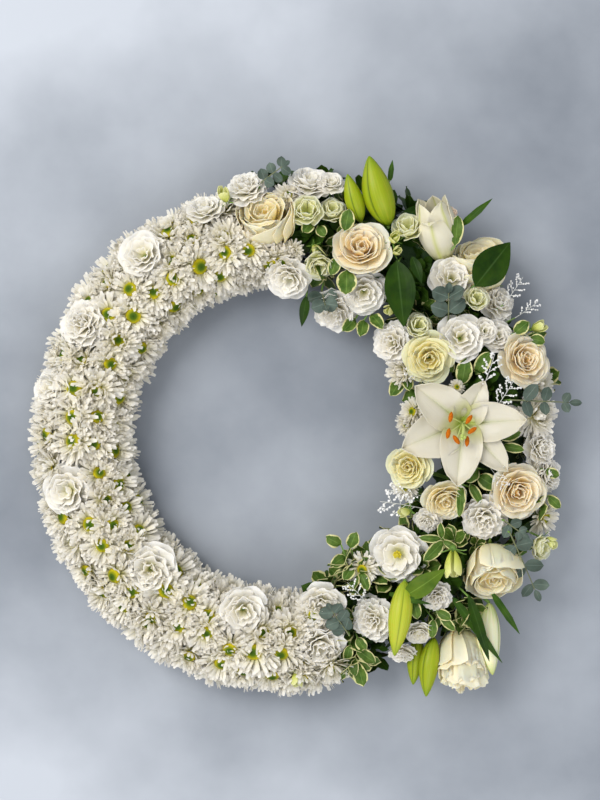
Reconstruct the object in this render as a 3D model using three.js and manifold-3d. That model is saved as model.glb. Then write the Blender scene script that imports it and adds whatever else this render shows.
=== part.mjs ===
// A round funeral wreath, lying on its back as it is made and laid.
// A plastic tray holds a ring of wet floral foam, and every cut stem is pushed into that foam.
// Half of the ring is a bed of white spray chrysanthemums with a few double blooms among them.
// The other half is a mixed spray of roses, a lily, lily buds, lisianthus, carnations and greenery.
// Millimetres, +Z up out of the wreath's face, the ring's axis on Z and the tray's underside at Z 0.
// A place is given as [degrees round the ring, mm out from its axis, mm up].
// A direction is given as [heading in degrees, tilt away from straight up in degrees].
import * as THREE from "three";
import { mergeVertices } from "three/addons/utils/BufferGeometryUtils.js";
import Module from "manifold-3d";

const wasm = await Module();
wasm.setup();

// Driving dimensions
const RING_RADIUS = 272; // to the centre line of the foam
const FOAM_WIDTH = 68;
const FOAM_TOP = 52;
const FOAM_CHAMFER = 8;
const CORE_HEIGHT = 28; // height of the line inside the foam that all stems point at
const TRAY_FLOOR = 2;
const TRAY_WALL = 1.7;
const TRAY_DEPTH = 18;
const CLEARANCE = 0.3; // between the foam and its tray
const CUT_GAP = 0.4; // how much a neighbour is grown before it is cut away
const ROOT_DEPTH = 15; // a stem stops this far from the middle of the foam
const THIN_STEM = 2; // stems up to this radius are built with four sides, thicker ones with six
const RING_SIDES = 48;

const COLOURS = {
  tray: { color: 0x2f4a3a, roughness: 0.55 },
  foam: { color: 0x3f6b3c, roughness: 0.95 },
  chrysanthemum: { color: 0xf6f5ef, roughness: 0.6 },
  bloom: { color: 0xf8f6f0, roughness: 0.6 },
  rose: { color: 0xf3e6c4, roughness: 0.55 },
  lily: { color: 0xf7f5ec, roughness: 0.45 },
  bud: { color: 0x9fb548, roughness: 0.5 },
  leaf: { color: 0x2c5a22, roughness: 0.45 },
  eucalyptus: { color: 0x7c9a92, roughness: 0.7 },
  limonium: { color: 0xf2f2f4, roughness: 0.8 },
};

// ---- Places and directions ----

const radians = THREE.MathUtils.degToRad;

function place([around, out, up]) {
  const a = radians(around);
  return new THREE.Vector3(out * Math.cos(a), out * Math.sin(a), up);
}

function direction([heading, tilt]) {
  const h = radians(heading);
  const t = radians(tilt);
  return new THREE.Vector3(Math.sin(t) * Math.cos(h), Math.sin(t) * Math.sin(h), Math.cos(t));
}

// The nearest point of the line inside the foam.
function coreBelow(point) {
  return point.clone().setZ(0).setLength(RING_RADIUS).setZ(CORE_HEIGHT);
}

// A frame at a point with its Y along one direction and its Z towards another.
function frameAt(origin, along, up) {
  const y = along.clone().normalize();
  const x = new THREE.Vector3().crossVectors(y, up);
  if (x.length() < 1e-3) x.set(1, 0, 0);
  x.normalize();
  const z = new THREE.Vector3().crossVectors(x, y);
  return new THREE.Matrix4().makeBasis(x, y, z).setPosition(origin);
}

const UP = new THREE.Vector3(0, 0, 1);

// ---- Solids ----

function toSolid(geometry, matrix) {
  const bare = geometry.clone();
  bare.deleteAttribute("normal");
  bare.deleteAttribute("uv");
  if (matrix) bare.applyMatrix4(matrix);
  const merged = mergeVertices(bare, 1e-4);
  const index = merged.index.array;
  const corners = [];
  for (let i = 0; i < index.length; i += 3) {
    const [a, b, c] = [index[i], index[i + 1], index[i + 2]];
    if (a !== b && b !== c && c !== a) corners.push(a, b, c);
  }
  const vertProperties = merged.attributes.position.array;
  const triVerts = new Uint32Array(corners);
  return new wasm.Manifold(new wasm.Mesh({ numProp: 3, vertProperties, triVerts }));
}

function toGeometry(solid) {
  const { vertProperties, triVerts } = solid.getMesh();
  const geometry = new THREE.BufferGeometry();
  geometry.setAttribute("position", new THREE.BufferAttribute(vertProperties, 3));
  geometry.setIndex(new THREE.BufferAttribute(triVerts, 1));
  geometry.computeVertexNormals();
  return geometry;
}

function union(solids) {
  return wasm.Manifold.union(solids);
}

function largest(solid) {
  const parts = solid.decompose();
  return parts.reduce((best, part) => (part.volume() > best.volume() ? part : best));
}

// A turned solid about Y from its profile of [radius, height], made larger all round by grow.
function turned(profile, sides, grow) {
  const middle = (profile[0][1] + profile[profile.length - 1][1]) / 2;
  const points = profile.map(([radius, height]) => {
    const wide = radius > 0 ? radius + grow : 0;
    return new THREE.Vector2(wide, height + grow * Math.sign(height - middle));
  });
  return new THREE.LatheGeometry(points, sides);
}

// A closed ring about Z from the outline of its section, [distance from the axis, height].
function ring(outline) {
  const closed = [...outline, outline[0]];
  const points = closed.map(([out, up]) => new THREE.Vector2(out, up));
  const upright = new THREE.Matrix4().makeRotationX(Math.PI / 2);
  return toSolid(new THREE.LatheGeometry(points, RING_SIDES), upright);
}

function rod(from, to, radius, grow) {
  const length = from.distanceTo(to) + 2 * grow;
  const sides = radius > THIN_STEM ? 6 : 4;
  const cylinder = new THREE.CylinderGeometry(radius + grow, radius + grow, length, sides);
  const middle = from.clone().lerp(to, 0.5);
  return toSolid(cylinder, frameAt(middle, to.clone().sub(from), new THREE.Vector3(0.3, 0.5, 0.8)));
}

// A leaf or petal: a spindle pressed flat, from its base along its length.
function blade(base, tip, width, thickness, outline, grow, normal = UP) {
  const length = base.distanceTo(tip);
  const half = width / 2;
  const profile = outline.map(([share, along]) => [share * half, along * length]);
  const spindle = turned(profile, 4, grow);
  spindle.scale(1, 1, (thickness / 2 + grow) / (half + grow));
  return toSolid(spindle, frameAt(base, tip.clone().sub(base), normal));
}

const POINTED = [[0, 0], [0.55, 0.15], [1, 0.45], [0.7, 0.8], [0, 1]];
const ROUND = [[0, 0], [0.75, 0.15], [1, 0.5], [0.75, 0.85], [0, 1]];
const STRAP = [[0, 0], [0.9, 0.2], [1, 0.6], [0, 1]];

// ---- The pieces: each has a head, and a stem that ends in the foam ----

const pieces = [];

// The stem runs from a point in the head to just short of the middle of the foam.
// A turn moves its root that many degrees along the ring, clear of another stem's root.
function stemTo(from, radius, turn = 0) {
  const core = coreBelow(from).applyAxisAngle(UP, radians(turn));
  const end = core.clone().add(from.clone().sub(core).setLength(ROOT_DEPTH));
  return (grow) => rod(from, end, radius, grow);
}

function addFlower(name, colour, at, face, profile, sides, stemRadius, turn) {
  const centre = place(at);
  const matrix = frameAt(centre, direction(face), new THREE.Vector3(0.2, 0.9, 0.4));
  pieces.push({
    name,
    colour,
    head: (grow) => toSolid(turned(profile, sides, grow), matrix),
    stem: stemTo(centre, stemRadius, turn),
  });
}

// ---- Lily: a trumpet throat, six petals and the six anthers round its pistil ----

const LILY = { at: [0, 222, 88], petal: 84, lift: 30, thickness: 4, throat: 34 };
const LILY_PETALS = [
  { heading: 4, width: 48 },
  { heading: 67, width: 36 },
  { heading: 142, width: 46 },
  { heading: 194, width: 34 },
  { heading: 262, width: 48 },
  { heading: 314, width: 36 },
];

function addLily() {
  const centre = place(LILY.at);
  const base = centre.clone().setZ(centre.z - LILY.throat / 2);
  const throat = [[0, -4], [7, 0], [17, LILY.throat * 0.6], [0, LILY.throat * 0.45]];
  pieces.push({
    name: "lily",
    colour: "lily",
    head: (grow) =>
      union([
        toSolid(turned(throat, 8, grow), frameAt(base, UP, new THREE.Vector3(0, 1, 0))),
        ...LILY_PETALS.map(({ heading, width }) => {
          const inner = centre.clone().addScaledVector(direction([heading, 90]), 6);
          const tip = centre.clone().addScaledVector(direction([heading, 90]), LILY.petal);
          tip.z += LILY.lift;
          inner.z -= 8;
          return blade(inner, tip, width, LILY.thickness, POINTED, grow);
        }),
      ]),
    stem: stemTo(base, 4),
  });
}
addLily();

// ---- Roses: a goblet of petals on a thick stem ----

function roseProfile(radius) {
  const depth = radius * 1.1;
  return [
    [0, -depth],
    [radius * 0.55, -depth * 0.85],
    [radius, -depth * 0.1],
    [radius * 0.92, depth * 0.45],
    [0, depth * 0.62],
  ];
}

const ROSES = {
  rose_crown: { at: [97, 274, 84], face: [100, 42], radius: 33 },
  rose_open_top: { at: [69, 247, 94], face: [80, 12], radius: 39 },
  rose_inner_upper: { at: [27, 197, 92], face: [95, 12], radius: 33 },
  rose_outer_upper: { at: [16, 312, 82], face: [20, 25], radius: 36 },
  rose_inner_lower: { at: [-19, 158, 86], face: [190, 20], radius: 30 },
  rose_centre_lower: { at: [-26, 220, 92], face: [-60, 20], radius: 30 },
  rose_outer_lower: { at: [-16, 303, 82], face: [0, 20], radius: 36 },
  rose_nodding: { at: [-36, 322, 78], face: [-85, 50], radius: 34 },
  rose_foot: { at: [-54, 376, 58], face: [-86, 76], radius: 31 },
  rose_shoulder: { at: [42, 330, 64], face: [70, 60], radius: 33 },
};

for (const [name, { at, face, radius }] of Object.entries(ROSES)) {
  addFlower(name, "rose", at, face, roseProfile(radius), 10, 3);
}

// ---- Lily buds: long spindles; one has opened to a half-closed flower ----

function budProfile(length, radius) {
  return [
    [0, -length / 2],
    [radius * 0.6, -length * 0.38],
    [radius, -length * 0.05],
    [radius * 0.62, length * 0.3],
    [0, length / 2],
  ];
}

const LILY_BUDS = {
  lily_half_open: { at: [54, 315, 76], face: [95, 62], length: 84, radius: 23 },
  lily_bud_crown_large: { at: [70, 326, 88], face: [107, 75], length: 92, radius: 20 },
  lily_bud_crown_small: { at: [75, 308, 88], face: [107, 75], length: 62, radius: 12 },
  lily_bud_face: { at: [-61, 284, 98], face: [-98, 88], length: 94, radius: 15 },
  lily_bud_foot_inner: { at: [-63, 346, 50], face: [-97, 84], length: 62, radius: 11 },
  lily_bud_foot_outer: { at: [-61, 360, 66], face: [-98, 86], length: 76, radius: 13 },
  lily_bud_white: { at: [-47.5, 378, 62], face: [-86, 84], length: 94, radius: 14 },
};

for (const [name, { at, face, length, radius }] of Object.entries(LILY_BUDS)) {
  const colour = name === "lily_half_open" ? "lily" : "bud";
  addFlower(name, colour, at, face, budProfile(length, radius), 8, 2.5);
}

// ---- Lisianthus and carnations: double ruffled blooms on both halves of the wreath ----

function bloomProfile(radius) {
  return [
    [0, -radius * 0.85],
    [radius * 0.45, -radius * 0.7],
    [radius, radius * 0.05],
    [radius * 0.75, radius * 0.42],
    [0, radius * 0.36],
  ];
}

const BLOOMS = {
  lisianthus_bed_top: { at: [112, 308, 84], face: [100, 48], radius: 23 },
  lisianthus_bed_upper: { at: [131, 297, 92], face: [130, 18], radius: 29 },
  carnation_bed_upper: { at: [154, 305, 88], face: [154, 25], radius: 31 },
  lisianthus_bed_left: { at: [171, 322, 74], face: [171, 42], radius: 27 },
  lisianthus_bed_lower: { at: [-164, 306, 88], face: [190, 18], radius: 31 },
  lisianthus_bed_bottom: { at: [-135, 263, 95], face: [-135, 8], radius: 32 },
  lisianthus_bed_foot: { at: [-105, 248, 95], face: [-75, 12], radius: 29, turn: 4 },
  carnation_bed_foot: { at: [-83, 290, 82], face: [-70, 32], radius: 27 },
  carnation_crown: { at: [101, 320, 76], face: [105, 45], radius: 26 },
  lisianthus_crown: { at: [86, 322, 76], face: [85, 45], radius: 27 },
  lisianthus_crown_inner: { at: [92, 190, 78], face: [-115, 35], radius: 27 },
  carnation_inner_top: { at: [70, 155, 66], face: [-105, 40], radius: 26 },
  lisianthus_face_top: { at: [62, 196, 78], face: [-90, 20], radius: 26 },
  carnation_inner_upper: { at: [40, 166, 76], face: [195, 30], radius: 25 },
  lisianthus_shoulder: { at: [43, 283, 88], face: [60, 15], radius: 26 },
  lisianthus_face_upper: { at: [28, 245, 96], face: [60, 8], radius: 27 },
  carnation_shoulder: { at: [31, 316, 66], face: [30, 40], radius: 25 },
  carnation_right: { at: [-5, 328, 70], face: [0, 40], radius: 24 },
  carnation_face_lower: { at: [-26, 277, 84], face: [-90, 25], radius: 28 },
  lisianthus_inner_lower: { at: [-51, 214, 90], face: [-150, 15], radius: 33 },
  carnation_inner_foot: { at: [-68, 270, 84], face: [180, 25], radius: 27 },
};

for (const [name, { at, face, radius, turn }] of Object.entries(BLOOMS)) {
  addFlower(name, "bloom", at, face, bloomProfile(radius), 9, 2.2, turn);
}

// ---- Greenery: single leaves, and sprigs of several leaves on one twig ----

const LEAF_THICKNESS = 2.4;

function addLeaf(name, base, tip, width, outline) {
  const from = place(base);
  const to = place(tip);
  const inside = from.clone().lerp(to, 0.12);
  pieces.push({
    name,
    colour: "leaf",
    head: (grow) => blade(from, to, width, LEAF_THICKNESS, outline, grow),
    stem: stemTo(inside, 1.6),
  });
}

addLeaf("lily_leaf_centre", [58, 252, 108], [42, 192, 106], 38, POINTED);
addLeaf("lily_leaf_shoulder", [36.5, 296, 104], [40, 366, 92], 40, POINTED);
addLeaf("grass_blade_foot", [-47, 306, 84], [-48.5, 412, 74], 10, STRAP);

// Leaves stand in pairs along the twig, each at an angle to it.
function addSprig(name, colour, base, tip, leaves, outline) {
  const from = place(base);
  const to = place(tip);
  const along = to.clone().sub(from).normalize();
  pieces.push({
    name,
    colour,
    head: (grow) =>
      union([
        rod(from, to, 1.3, grow),
        ...leaves.map(({ at, turn, length, width }) => {
          const start = from.clone().lerp(to, at).addScaledVector(along, -1);
          const lean = along.clone().applyAxisAngle(UP, radians(turn));
          const end = start.clone().addScaledVector(lean, length);
          return blade(start, end, width, LEAF_THICKNESS, outline, grow);
        }),
      ]),
    stem: stemTo(from, 1.6),
  });
}

const EUCALYPTUS_RIGHT = [
  { at: 0.2, turn: 75, length: 24, width: 17 },
  { at: 0.25, turn: -80, length: 28, width: 24 },
  { at: 0.65, turn: 70, length: 20, width: 11 },
  { at: 0.65, turn: -70, length: 24, width: 12 },
  { at: 0.98, turn: -75, length: 24, width: 10 },
];
addSprig("eucalyptus_right", "eucalyptus", [7, 288, 104], [5.5, 350, 96], EUCALYPTUS_RIGHT, ROUND);

const EUCALYPTUS_FOOT = [
  { at: 0.15, turn: 60, length: 24, width: 18 },
  { at: 0.3, turn: -70, length: 22, width: 18 },
  { at: 0.6, turn: 55, length: 26, width: 15 },
  { at: 0.55, turn: -50, length: 26, width: 16 },
  { at: 0.98, turn: -10, length: 22, width: 10 },
];
addSprig("eucalyptus_foot", "eucalyptus", [-27, 318, 90], [-32, 376, 78], EUCALYPTUS_FOOT, ROUND);

const EUCALYPTUS_INNER = [
  { at: 0.3, turn: 80, length: 20, width: 17 },
  { at: 0.3, turn: -80, length: 20, width: 17 },
  { at: 0.7, turn: 50, length: 20, width: 18 },
  { at: 0.7, turn: -50, length: 20, width: 18 },
  { at: 0.95, turn: 0, length: 18, width: 16 },
];
addSprig("eucalyptus_inner", "eucalyptus", [-78, 284, 92], [-77, 250, 98], EUCALYPTUS_INNER, ROUND);

const PITTOSPORUM = [
  { at: 0.25, turn: 70, length: 30, width: 15 },
  { at: 0.3, turn: -65, length: 30, width: 15 },
  { at: 0.8, turn: 40, length: 32, width: 16 },
  { at: 0.8, turn: -40, length: 32, width: 16 },
  { at: 0.95, turn: 5, length: 30, width: 14 },
];
addSprig("pittosporum_foot", "leaf", [-77.5, 300, 50], [-77.5, 322, 48], PITTOSPORUM, POINTED);
addSprig("pittosporum_inner_lower", "leaf", [-67, 212, 70], [-71, 186, 78], PITTOSPORUM, POINTED);

const LIMONIUM = [
  { at: 0.35, turn: 45, length: 20, width: 6 },
  { at: 0.5, turn: -45, length: 20, width: 6 },
  { at: 0.75, turn: 35, length: 16, width: 6 },
  { at: 0.95, turn: -15, length: 12, width: 6 },
];
addSprig("limonium_inner", "limonium", [-32, 205, 60], [-41, 148, 84], LIMONIUM, STRAP);

// ---- Chrysanthemum bed: sprays side by side over half of the foam ----
// A spray is one stem that forks just above the foam into a side shoot for each of its heads.

const BED = { start: 98, end: 282, sprays: 10, arch: 68, rise: 60 };
const HEAD_DEPTH = 12;
const SHOOT_RADIUS = 1.8;
const FORK_HEIGHT = 64;
const SPRAY_ROWS = [
  { over: 10, heads: 2, radius: 29 },
  { over: 50, heads: 2, radius: 29 },
  { over: 90, heads: 2, radius: 27 },
  { over: 130, heads: 1, radius: 34 },
  { over: 168, heads: 1, radius: 34 },
];

// A head over the foam: 0 degrees faces outwards, 90 up and 180 into the ring's opening.
function sprayHead(around, over, radius, fork) {
  const o = radians(over);
  const out = RING_RADIUS + BED.arch * Math.cos(o);
  const centre = place([around, out, CORE_HEIGHT + BED.rise * Math.sin(o)]);
  const facing = place([around, Math.cos(o), Math.sin(o)]);
  const profile = [[0, -HEAD_DEPTH], [radius, 0], [0, HEAD_DEPTH]];
  const matrix = frameAt(centre, facing, new THREE.Vector3(0.2, 0.3, 0.9));
  return {
    centre,
    head: (grow) => toSolid(turned(profile, 8, grow), matrix),
    shoot: (grow) => rod(centre, fork, SHOOT_RADIUS, grow),
  };
}

// No head stands where a larger bloom fills the bed.
function isFree({ centre }) {
  return Object.values({ ...BLOOMS, ...ROSES }).every(
    (bloom) => place(bloom.at).distanceTo(centre) > bloom.radius,
  );
}

function addSpray(number) {
  const share = (BED.end - BED.start) / BED.sprays;
  const from = BED.start + number * share;
  const fork = place([from + share / 2, RING_RADIUS, FORK_HEIGHT]);
  const stem = stemTo(fork, 2.5);
  const heads = SPRAY_ROWS.flatMap(({ over, heads: count, radius }, row) =>
    Array.from({ length: count }, (_, k) => {
      const around = from + (share * (k + 0.5 + 0.12 * (row % 2))) / count;
      return sprayHead(around, over, radius, fork);
    }),
  ).filter(isFree);
  pieces.push({
    name: "chrysanthemum_spray_" + String(number + 1).padStart(2, "0"),
    colour: "chrysanthemum",
    head: (grow) => union(heads.map((h) => h.head(grow))),
    stem: (grow) => union([stem(grow), ...heads.map((h) => h.shoot(grow))]),
  });
}

for (let number = 0; number < BED.sprays; number++) addSpray(number);

// ---- Tray and foam ----

const foamIn = RING_RADIUS - FOAM_WIDTH / 2;
const foamOut = RING_RADIUS + FOAM_WIDTH / 2;
const trayIn = foamIn - CLEARANCE - TRAY_WALL;
const trayOut = foamOut + CLEARANCE + TRAY_WALL;

function trayRing() {
  return ring([
    [trayIn, 0],
    [trayOut, 0],
    [trayOut, TRAY_DEPTH],
    [trayOut - TRAY_WALL, TRAY_DEPTH],
    [trayOut - TRAY_WALL, TRAY_FLOOR],
    [trayIn + TRAY_WALL, TRAY_FLOOR],
    [trayIn + TRAY_WALL, TRAY_DEPTH],
    [trayIn, TRAY_DEPTH],
  ]);
}

function foamRing(grow) {
  return ring([
    [foamIn - grow, TRAY_FLOOR + CLEARANCE - grow],
    [foamOut + grow, TRAY_FLOOR + CLEARANCE - grow],
    [foamOut + grow, FOAM_TOP - FOAM_CHAMFER + grow],
    [foamOut - FOAM_CHAMFER + grow, FOAM_TOP + grow],
    [foamIn + FOAM_CHAMFER - grow, FOAM_TOP + grow],
    [foamIn - grow, FOAM_TOP - FOAM_CHAMFER + grow],
  ]);
}

// ---- Putting it together: heads give way to stems, to the foam and to the heads set before them ----

const wreath = new THREE.Group();

function addMesh(name, colour, solid) {
  const mesh = new THREE.Mesh(
    toGeometry(solid),
    new THREE.MeshStandardMaterial({ metalness: 0, ...COLOURS[colour] }),
  );
  mesh.name = name;
  wreath.add(mesh);
}

function meets(a, b) {
  const [p, q] = [a.boundingBox(), b.boundingBox()];
  return [0, 1, 2].every((i) => p.min[i] <= q.max[i] && q.min[i] <= p.max[i]);
}

function without(solid, others) {
  return others.filter((o) => meets(solid, o)).reduce((left, o) => left.subtract(o), solid);
}

const grownStems = pieces.map((piece) => piece.stem(CUT_GAP));
const grownFoam = foamRing(CUT_GAP);
const standing = [];

pieces.forEach((piece, number) => {
  const otherStems = grownStems.filter((_, k) => k !== number);
  const head = without(piece.head(0), [...otherStems, ...standing, grownFoam]);
  addMesh(piece.name, piece.colour, largest(head.add(piece.stem(0))));
  standing.push(piece.head(CUT_GAP));
});

addMesh("foam_ring", "foam", without(foamRing(0), grownStems));
addMesh("foam_tray", "tray", trayRing());

export default wreath;
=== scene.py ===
import math
import random

import bpy
from mathutils import Euler, Matrix, Vector


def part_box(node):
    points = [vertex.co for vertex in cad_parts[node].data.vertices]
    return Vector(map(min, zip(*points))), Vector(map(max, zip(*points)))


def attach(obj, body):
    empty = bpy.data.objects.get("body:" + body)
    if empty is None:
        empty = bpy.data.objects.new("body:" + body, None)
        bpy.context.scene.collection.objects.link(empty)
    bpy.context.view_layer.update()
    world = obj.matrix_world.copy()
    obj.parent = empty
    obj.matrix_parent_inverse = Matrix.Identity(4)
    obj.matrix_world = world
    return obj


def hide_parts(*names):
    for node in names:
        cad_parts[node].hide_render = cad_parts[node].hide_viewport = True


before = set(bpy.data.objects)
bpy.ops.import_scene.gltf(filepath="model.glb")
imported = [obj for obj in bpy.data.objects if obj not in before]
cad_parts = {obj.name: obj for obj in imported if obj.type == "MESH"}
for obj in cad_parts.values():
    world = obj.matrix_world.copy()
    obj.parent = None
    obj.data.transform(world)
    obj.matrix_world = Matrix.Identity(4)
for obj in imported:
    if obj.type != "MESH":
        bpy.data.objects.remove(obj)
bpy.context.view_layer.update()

# ---- Foam tray ----
# A shallow moulded plastic ring that holds the wet foam and its water. The wreath rests on it.
# Dark green plastic, slightly scuffed, mostly hidden under the flowers.


def new_material(name, roughness, **sockets):
    """A material with its Principled BSDF, whose plain sockets are set here."""
    material = bpy.data.materials.new(name)
    material.use_nodes = True
    shader = material.node_tree.nodes["Principled BSDF"]
    shader.inputs["Roughness"].default_value = roughness
    for socket, value in sockets.items():
        shader.inputs[socket.replace("_", " ")].default_value = value
    return material, material.node_tree, shader


def add_node(tree, kind, **settings):
    """A shader node with its settings; a name that isn't a setting is one of its inputs."""
    node = tree.nodes.new("ShaderNode" + kind)
    for name, value in settings.items():
        if hasattr(node, name):
            setattr(node, name, value)
        else:
            node.inputs[name].default_value = value
    return node


def wire(tree, *wires):
    """Joins nodes. Each wire is a node, its output, the next node and its input."""
    for source, output, target, socket in wires:
        tree.links.new(source.outputs[output], target.inputs[socket])


def fill_ramp(node, stops):
    """Gives a Color Ramp node its stops, as (place, (red, green, blue)) pairs."""
    elements = node.color_ramp.elements
    while len(elements) < len(stops):
        elements.new(0.5)
    for element, (where, colour) in zip(elements, stops):
        element.position = where
        element.color = (*colour, 1)


def finish_cad_node(name, material):
    """A CAD node keeps its shape and gets a finished material."""
    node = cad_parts[name]
    for slot in node.material_slots:
        slot.material = material
    if not node.material_slots:
        node.data.materials.append(material)


tray_plastic, tree, shader = new_material("tray_plastic", 0.5)
scuffs = add_node(tree, "TexNoise", Scale=90, Detail=6)
tint = add_node(tree, "ValToRGB")
fill_ramp(tint, [(0.35, (0.018, 0.04, 0.024)), (0.7, (0.035, 0.07, 0.042))])
dents = add_node(tree, "Bump", Strength=0.15, Distance=0.0004)
place = add_node(tree, "TexCoord")
wire(
    tree,
    (place, "Object", scuffs, "Vector"),
    (scuffs, "Fac", tint, "Fac"),
    (tint, "Color", shader, "Base Color"),
    (scuffs, "Fac", dents, "Height"),
    (dents, "Normal", shader, "Normal"),
)
finish_cad_node("foam_tray", tray_plastic)

# ---- Foam ring ----
# Wet floral foam, a fine-pored green foam that is soaked before the stems are pushed in.
# It is cut as a ring with chamfered edges and sits in the tray.

wet_foam, tree, shader = new_material("wet_foam", 0.85)
place = add_node(tree, "TexCoord")
pores = add_node(tree, "TexVoronoi", Scale=900)
damp = add_node(tree, "TexNoise", Scale=14, Detail=4)
tint = add_node(tree, "ValToRGB")
fill_ramp(tint, [(0.3, (0.012, 0.035, 0.01)), (0.75, (0.035, 0.085, 0.026))])
pits = add_node(tree, "Bump", Strength=0.6, Distance=0.0006)
wire(
    tree,
    (place, "Object", pores, "Vector"),
    (place, "Object", damp, "Vector"),
    (damp, "Fac", tint, "Fac"),
    (tint, "Color", shader, "Base Color"),
    (pores, "Distance", pits, "Height"),
    (pits, "Normal", shader, "Normal"),
)
finish_cad_node("foam_ring", wet_foam)

# ---- Chrysanthemum bed ----
# Cut spray chrysanthemums, each a yellow and olive eye in rows of white strap petals. Their stems
# are pushed into the foam side by side, so that the heads hide half of it.


def select_only(*pieces):
    """Selects these pieces alone and makes the first one active."""
    bpy.ops.object.select_all(action="DESELECT")
    for piece in pieces:
        piece.select_set(True)
    bpy.context.view_layer.objects.active = pieces[0]


def join(name, pieces):
    """Joins pieces into one, named and with its place in its mesh."""
    select_only(*pieces)
    if len(pieces) > 1:
        bpy.ops.object.join()
    joined = bpy.context.object
    joined.name = name
    bpy.ops.object.transform_apply(location=True, rotation=True, scale=True)
    return joined


def copied(piece, matrix):
    """A copy with a mesh of its own, moved to where it belongs."""
    twin = piece.copy()
    twin.data = piece.data.copy()
    twin.data.transform(matrix)
    bpy.context.collection.objects.link(twin)
    return twin


def mark(piece, **values):
    """Writes a number on every point: how far along its petal it is, how far across, or which row."""
    for name, value in values.items():
        layer = piece.data.attributes.get(name) or piece.data.attributes.new(name, "FLOAT", "POINT")
        for point, item in zip(piece.data.vertices, layer.data):
            item.value = value(point.co) if callable(value) else value


# petals and leaves that lie on the floor are this far over it
FLOOR_GAP = 0.0008


def rest_on_floor(piece):
    """Petals and leaves that would reach below the floor lie on it."""
    for point in piece.data.vertices:
        point.co.z = max(point.co.z, FLOOR_GAP)


def strap_petal(length, width, curl):
    """A channelled petal along +Y, extruded ring by ring from a four-sided foot, then curled up."""
    bpy.ops.object.select_all(action="DESELECT")
    bpy.ops.mesh.primitive_circle_add(
        vertices=4, radius=width / 2, fill_type="NGON", rotation=(math.pi / 2, 0, 0)
    )
    bpy.ops.object.transform_apply(location=False, rotation=True, scale=False)
    petal = bpy.context.object
    bpy.ops.object.mode_set(mode="EDIT")
    bpy.ops.mesh.select_all(action="SELECT")
    bpy.ops.transform.resize(value=(0.40, 1, 0.09))
    for step, swell in ((0.35, 2.0), (0.42, 1.25), (0.23, 0.6)):
        bpy.ops.mesh.extrude_region_move(TRANSFORM_OT_translate={"value": (0, step * length, 0)})
        bpy.ops.transform.resize(value=(swell, 1, 1))
    bpy.ops.mesh.select_all(action="SELECT")
    bpy.ops.mesh.normals_make_consistent(inside=False)
    bpy.ops.object.mode_set(mode="OBJECT")
    mark(petal, along=lambda co: co.y / length, across=lambda co: 2 * co.x / width)
    channel = 0.16 * width
    for point in petal.data.vertices:
        x, y, z = point.co
        share = y / length
        dip = channel * (1 - abs(2 * x / width)) * math.sin(math.pi * min(1, share + 0.1))
        bend = curl * share
        point.co = (x, length * share * math.cos(bend), z - dip + length * share * math.sin(bend))
    bpy.ops.object.shade_smooth_by_angle(angle=math.radians(50))
    return petal


EYE_RADIUS = 0.0100
EYE_HEIGHT = 0.0050
PETAL_ROWS = (
    # number of petals, length, width, tilt up from the head's plane and curl, in degrees
    (22, 0.0240, 0.0058, -16, 6),
    (26, 0.0245, 0.0054, -4, 10),
    (26, 0.0225, 0.0050, 8, 16),
    (22, 0.0180, 0.0046, 21, 26),
    (14, 0.0125, 0.0042, 36, 30),
)


def chrysanthemum_head(name, openness, seed):
    """One head facing +Z. Openness 1 shows the whole eye and 0 folds the inner rows over it."""
    rng = random.Random(seed)
    petals = []
    rows = PETAL_ROWS[: 4 if openness > 0.8 else 5]
    for number, (count, length, width, tilt, curl) in enumerate(rows):
        lift = tilt + (1 - openness) * 9 * number
        strap = strap_petal(length, width, math.radians(curl + (1 - openness) * 10 * number))
        strap.data.materials.append(petal_white)
        for k in range(count):
            around = 2 * math.pi * (k + 0.5 * number) / count + rng.gauss(0, 0.10)
            raised = math.radians(lift + rng.gauss(0, 6))
            turn = Euler((raised, rng.gauss(0, 0.30), 0)).to_matrix().to_4x4()
            size = Matrix.Scale(rng.uniform(0.84, 1.1), 4)
            out = EYE_RADIUS * (0.90 - 0.05 * number) * (0.25 + 0.75 * openness)
            foot = Matrix.Translation((0, out, 0.0014 * number))
            petals.append(copied(strap, Matrix.Rotation(around, 4, "Z") @ foot @ turn @ size))
        bpy.data.objects.remove(strap)
    reach = EYE_RADIUS * (0.4 + 0.6 * openness)
    bpy.ops.object.select_all(action="DESELECT")
    bpy.ops.mesh.primitive_uv_sphere_add(segments=10, ring_count=6, radius=reach)
    eye = bpy.context.object
    bpy.ops.object.shade_smooth()
    eye.scale = (1, 1, 0.5)
    bpy.ops.object.transform_apply(location=False, rotation=False, scale=True)
    mark(eye, along=lambda co: math.hypot(co.x, co.y) / reach)
    eye.data.transform(Matrix.Translation((0, 0, EYE_HEIGHT)))
    eye.data.materials.append(flower_eye)
    return join(name, [*petals, eye])


def petal_veins_group():
    """Fine ribs that run along a petal, from the petal's own along and across values."""
    group = bpy.data.node_groups.new("petal_veins", "ShaderNodeTree")
    fineness = group.interface.new_socket(name="Fineness", in_out="INPUT", socket_type="NodeSocketFloat")
    fineness.default_value = 6
    group.interface.new_socket(name="Ribs", in_out="OUTPUT", socket_type="NodeSocketFloat")
    inputs = group.nodes.new("NodeGroupInput")
    outputs = group.nodes.new("NodeGroupOutput")
    along = add_node(group, "Attribute", attribute_name="along")
    across = add_node(group, "Attribute", attribute_name="across")
    stretched = add_node(group, "Math", operation="MULTIPLY")
    spread = add_node(group, "CombineXYZ")
    noise = add_node(group, "TexNoise", Scale=1, Detail=3)
    wire(
        group,
        (across, "Fac", stretched, 0),
        (inputs, "Fineness", stretched, 1),
        (stretched, 0, spread, "X"),
        (along, "Fac", spread, "Y"),
        (spread, 0, noise, "Vector"),
        (noise, "Fac", outputs, "Ribs"),
    )
    return group


petal_veins = petal_veins_group()


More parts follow.
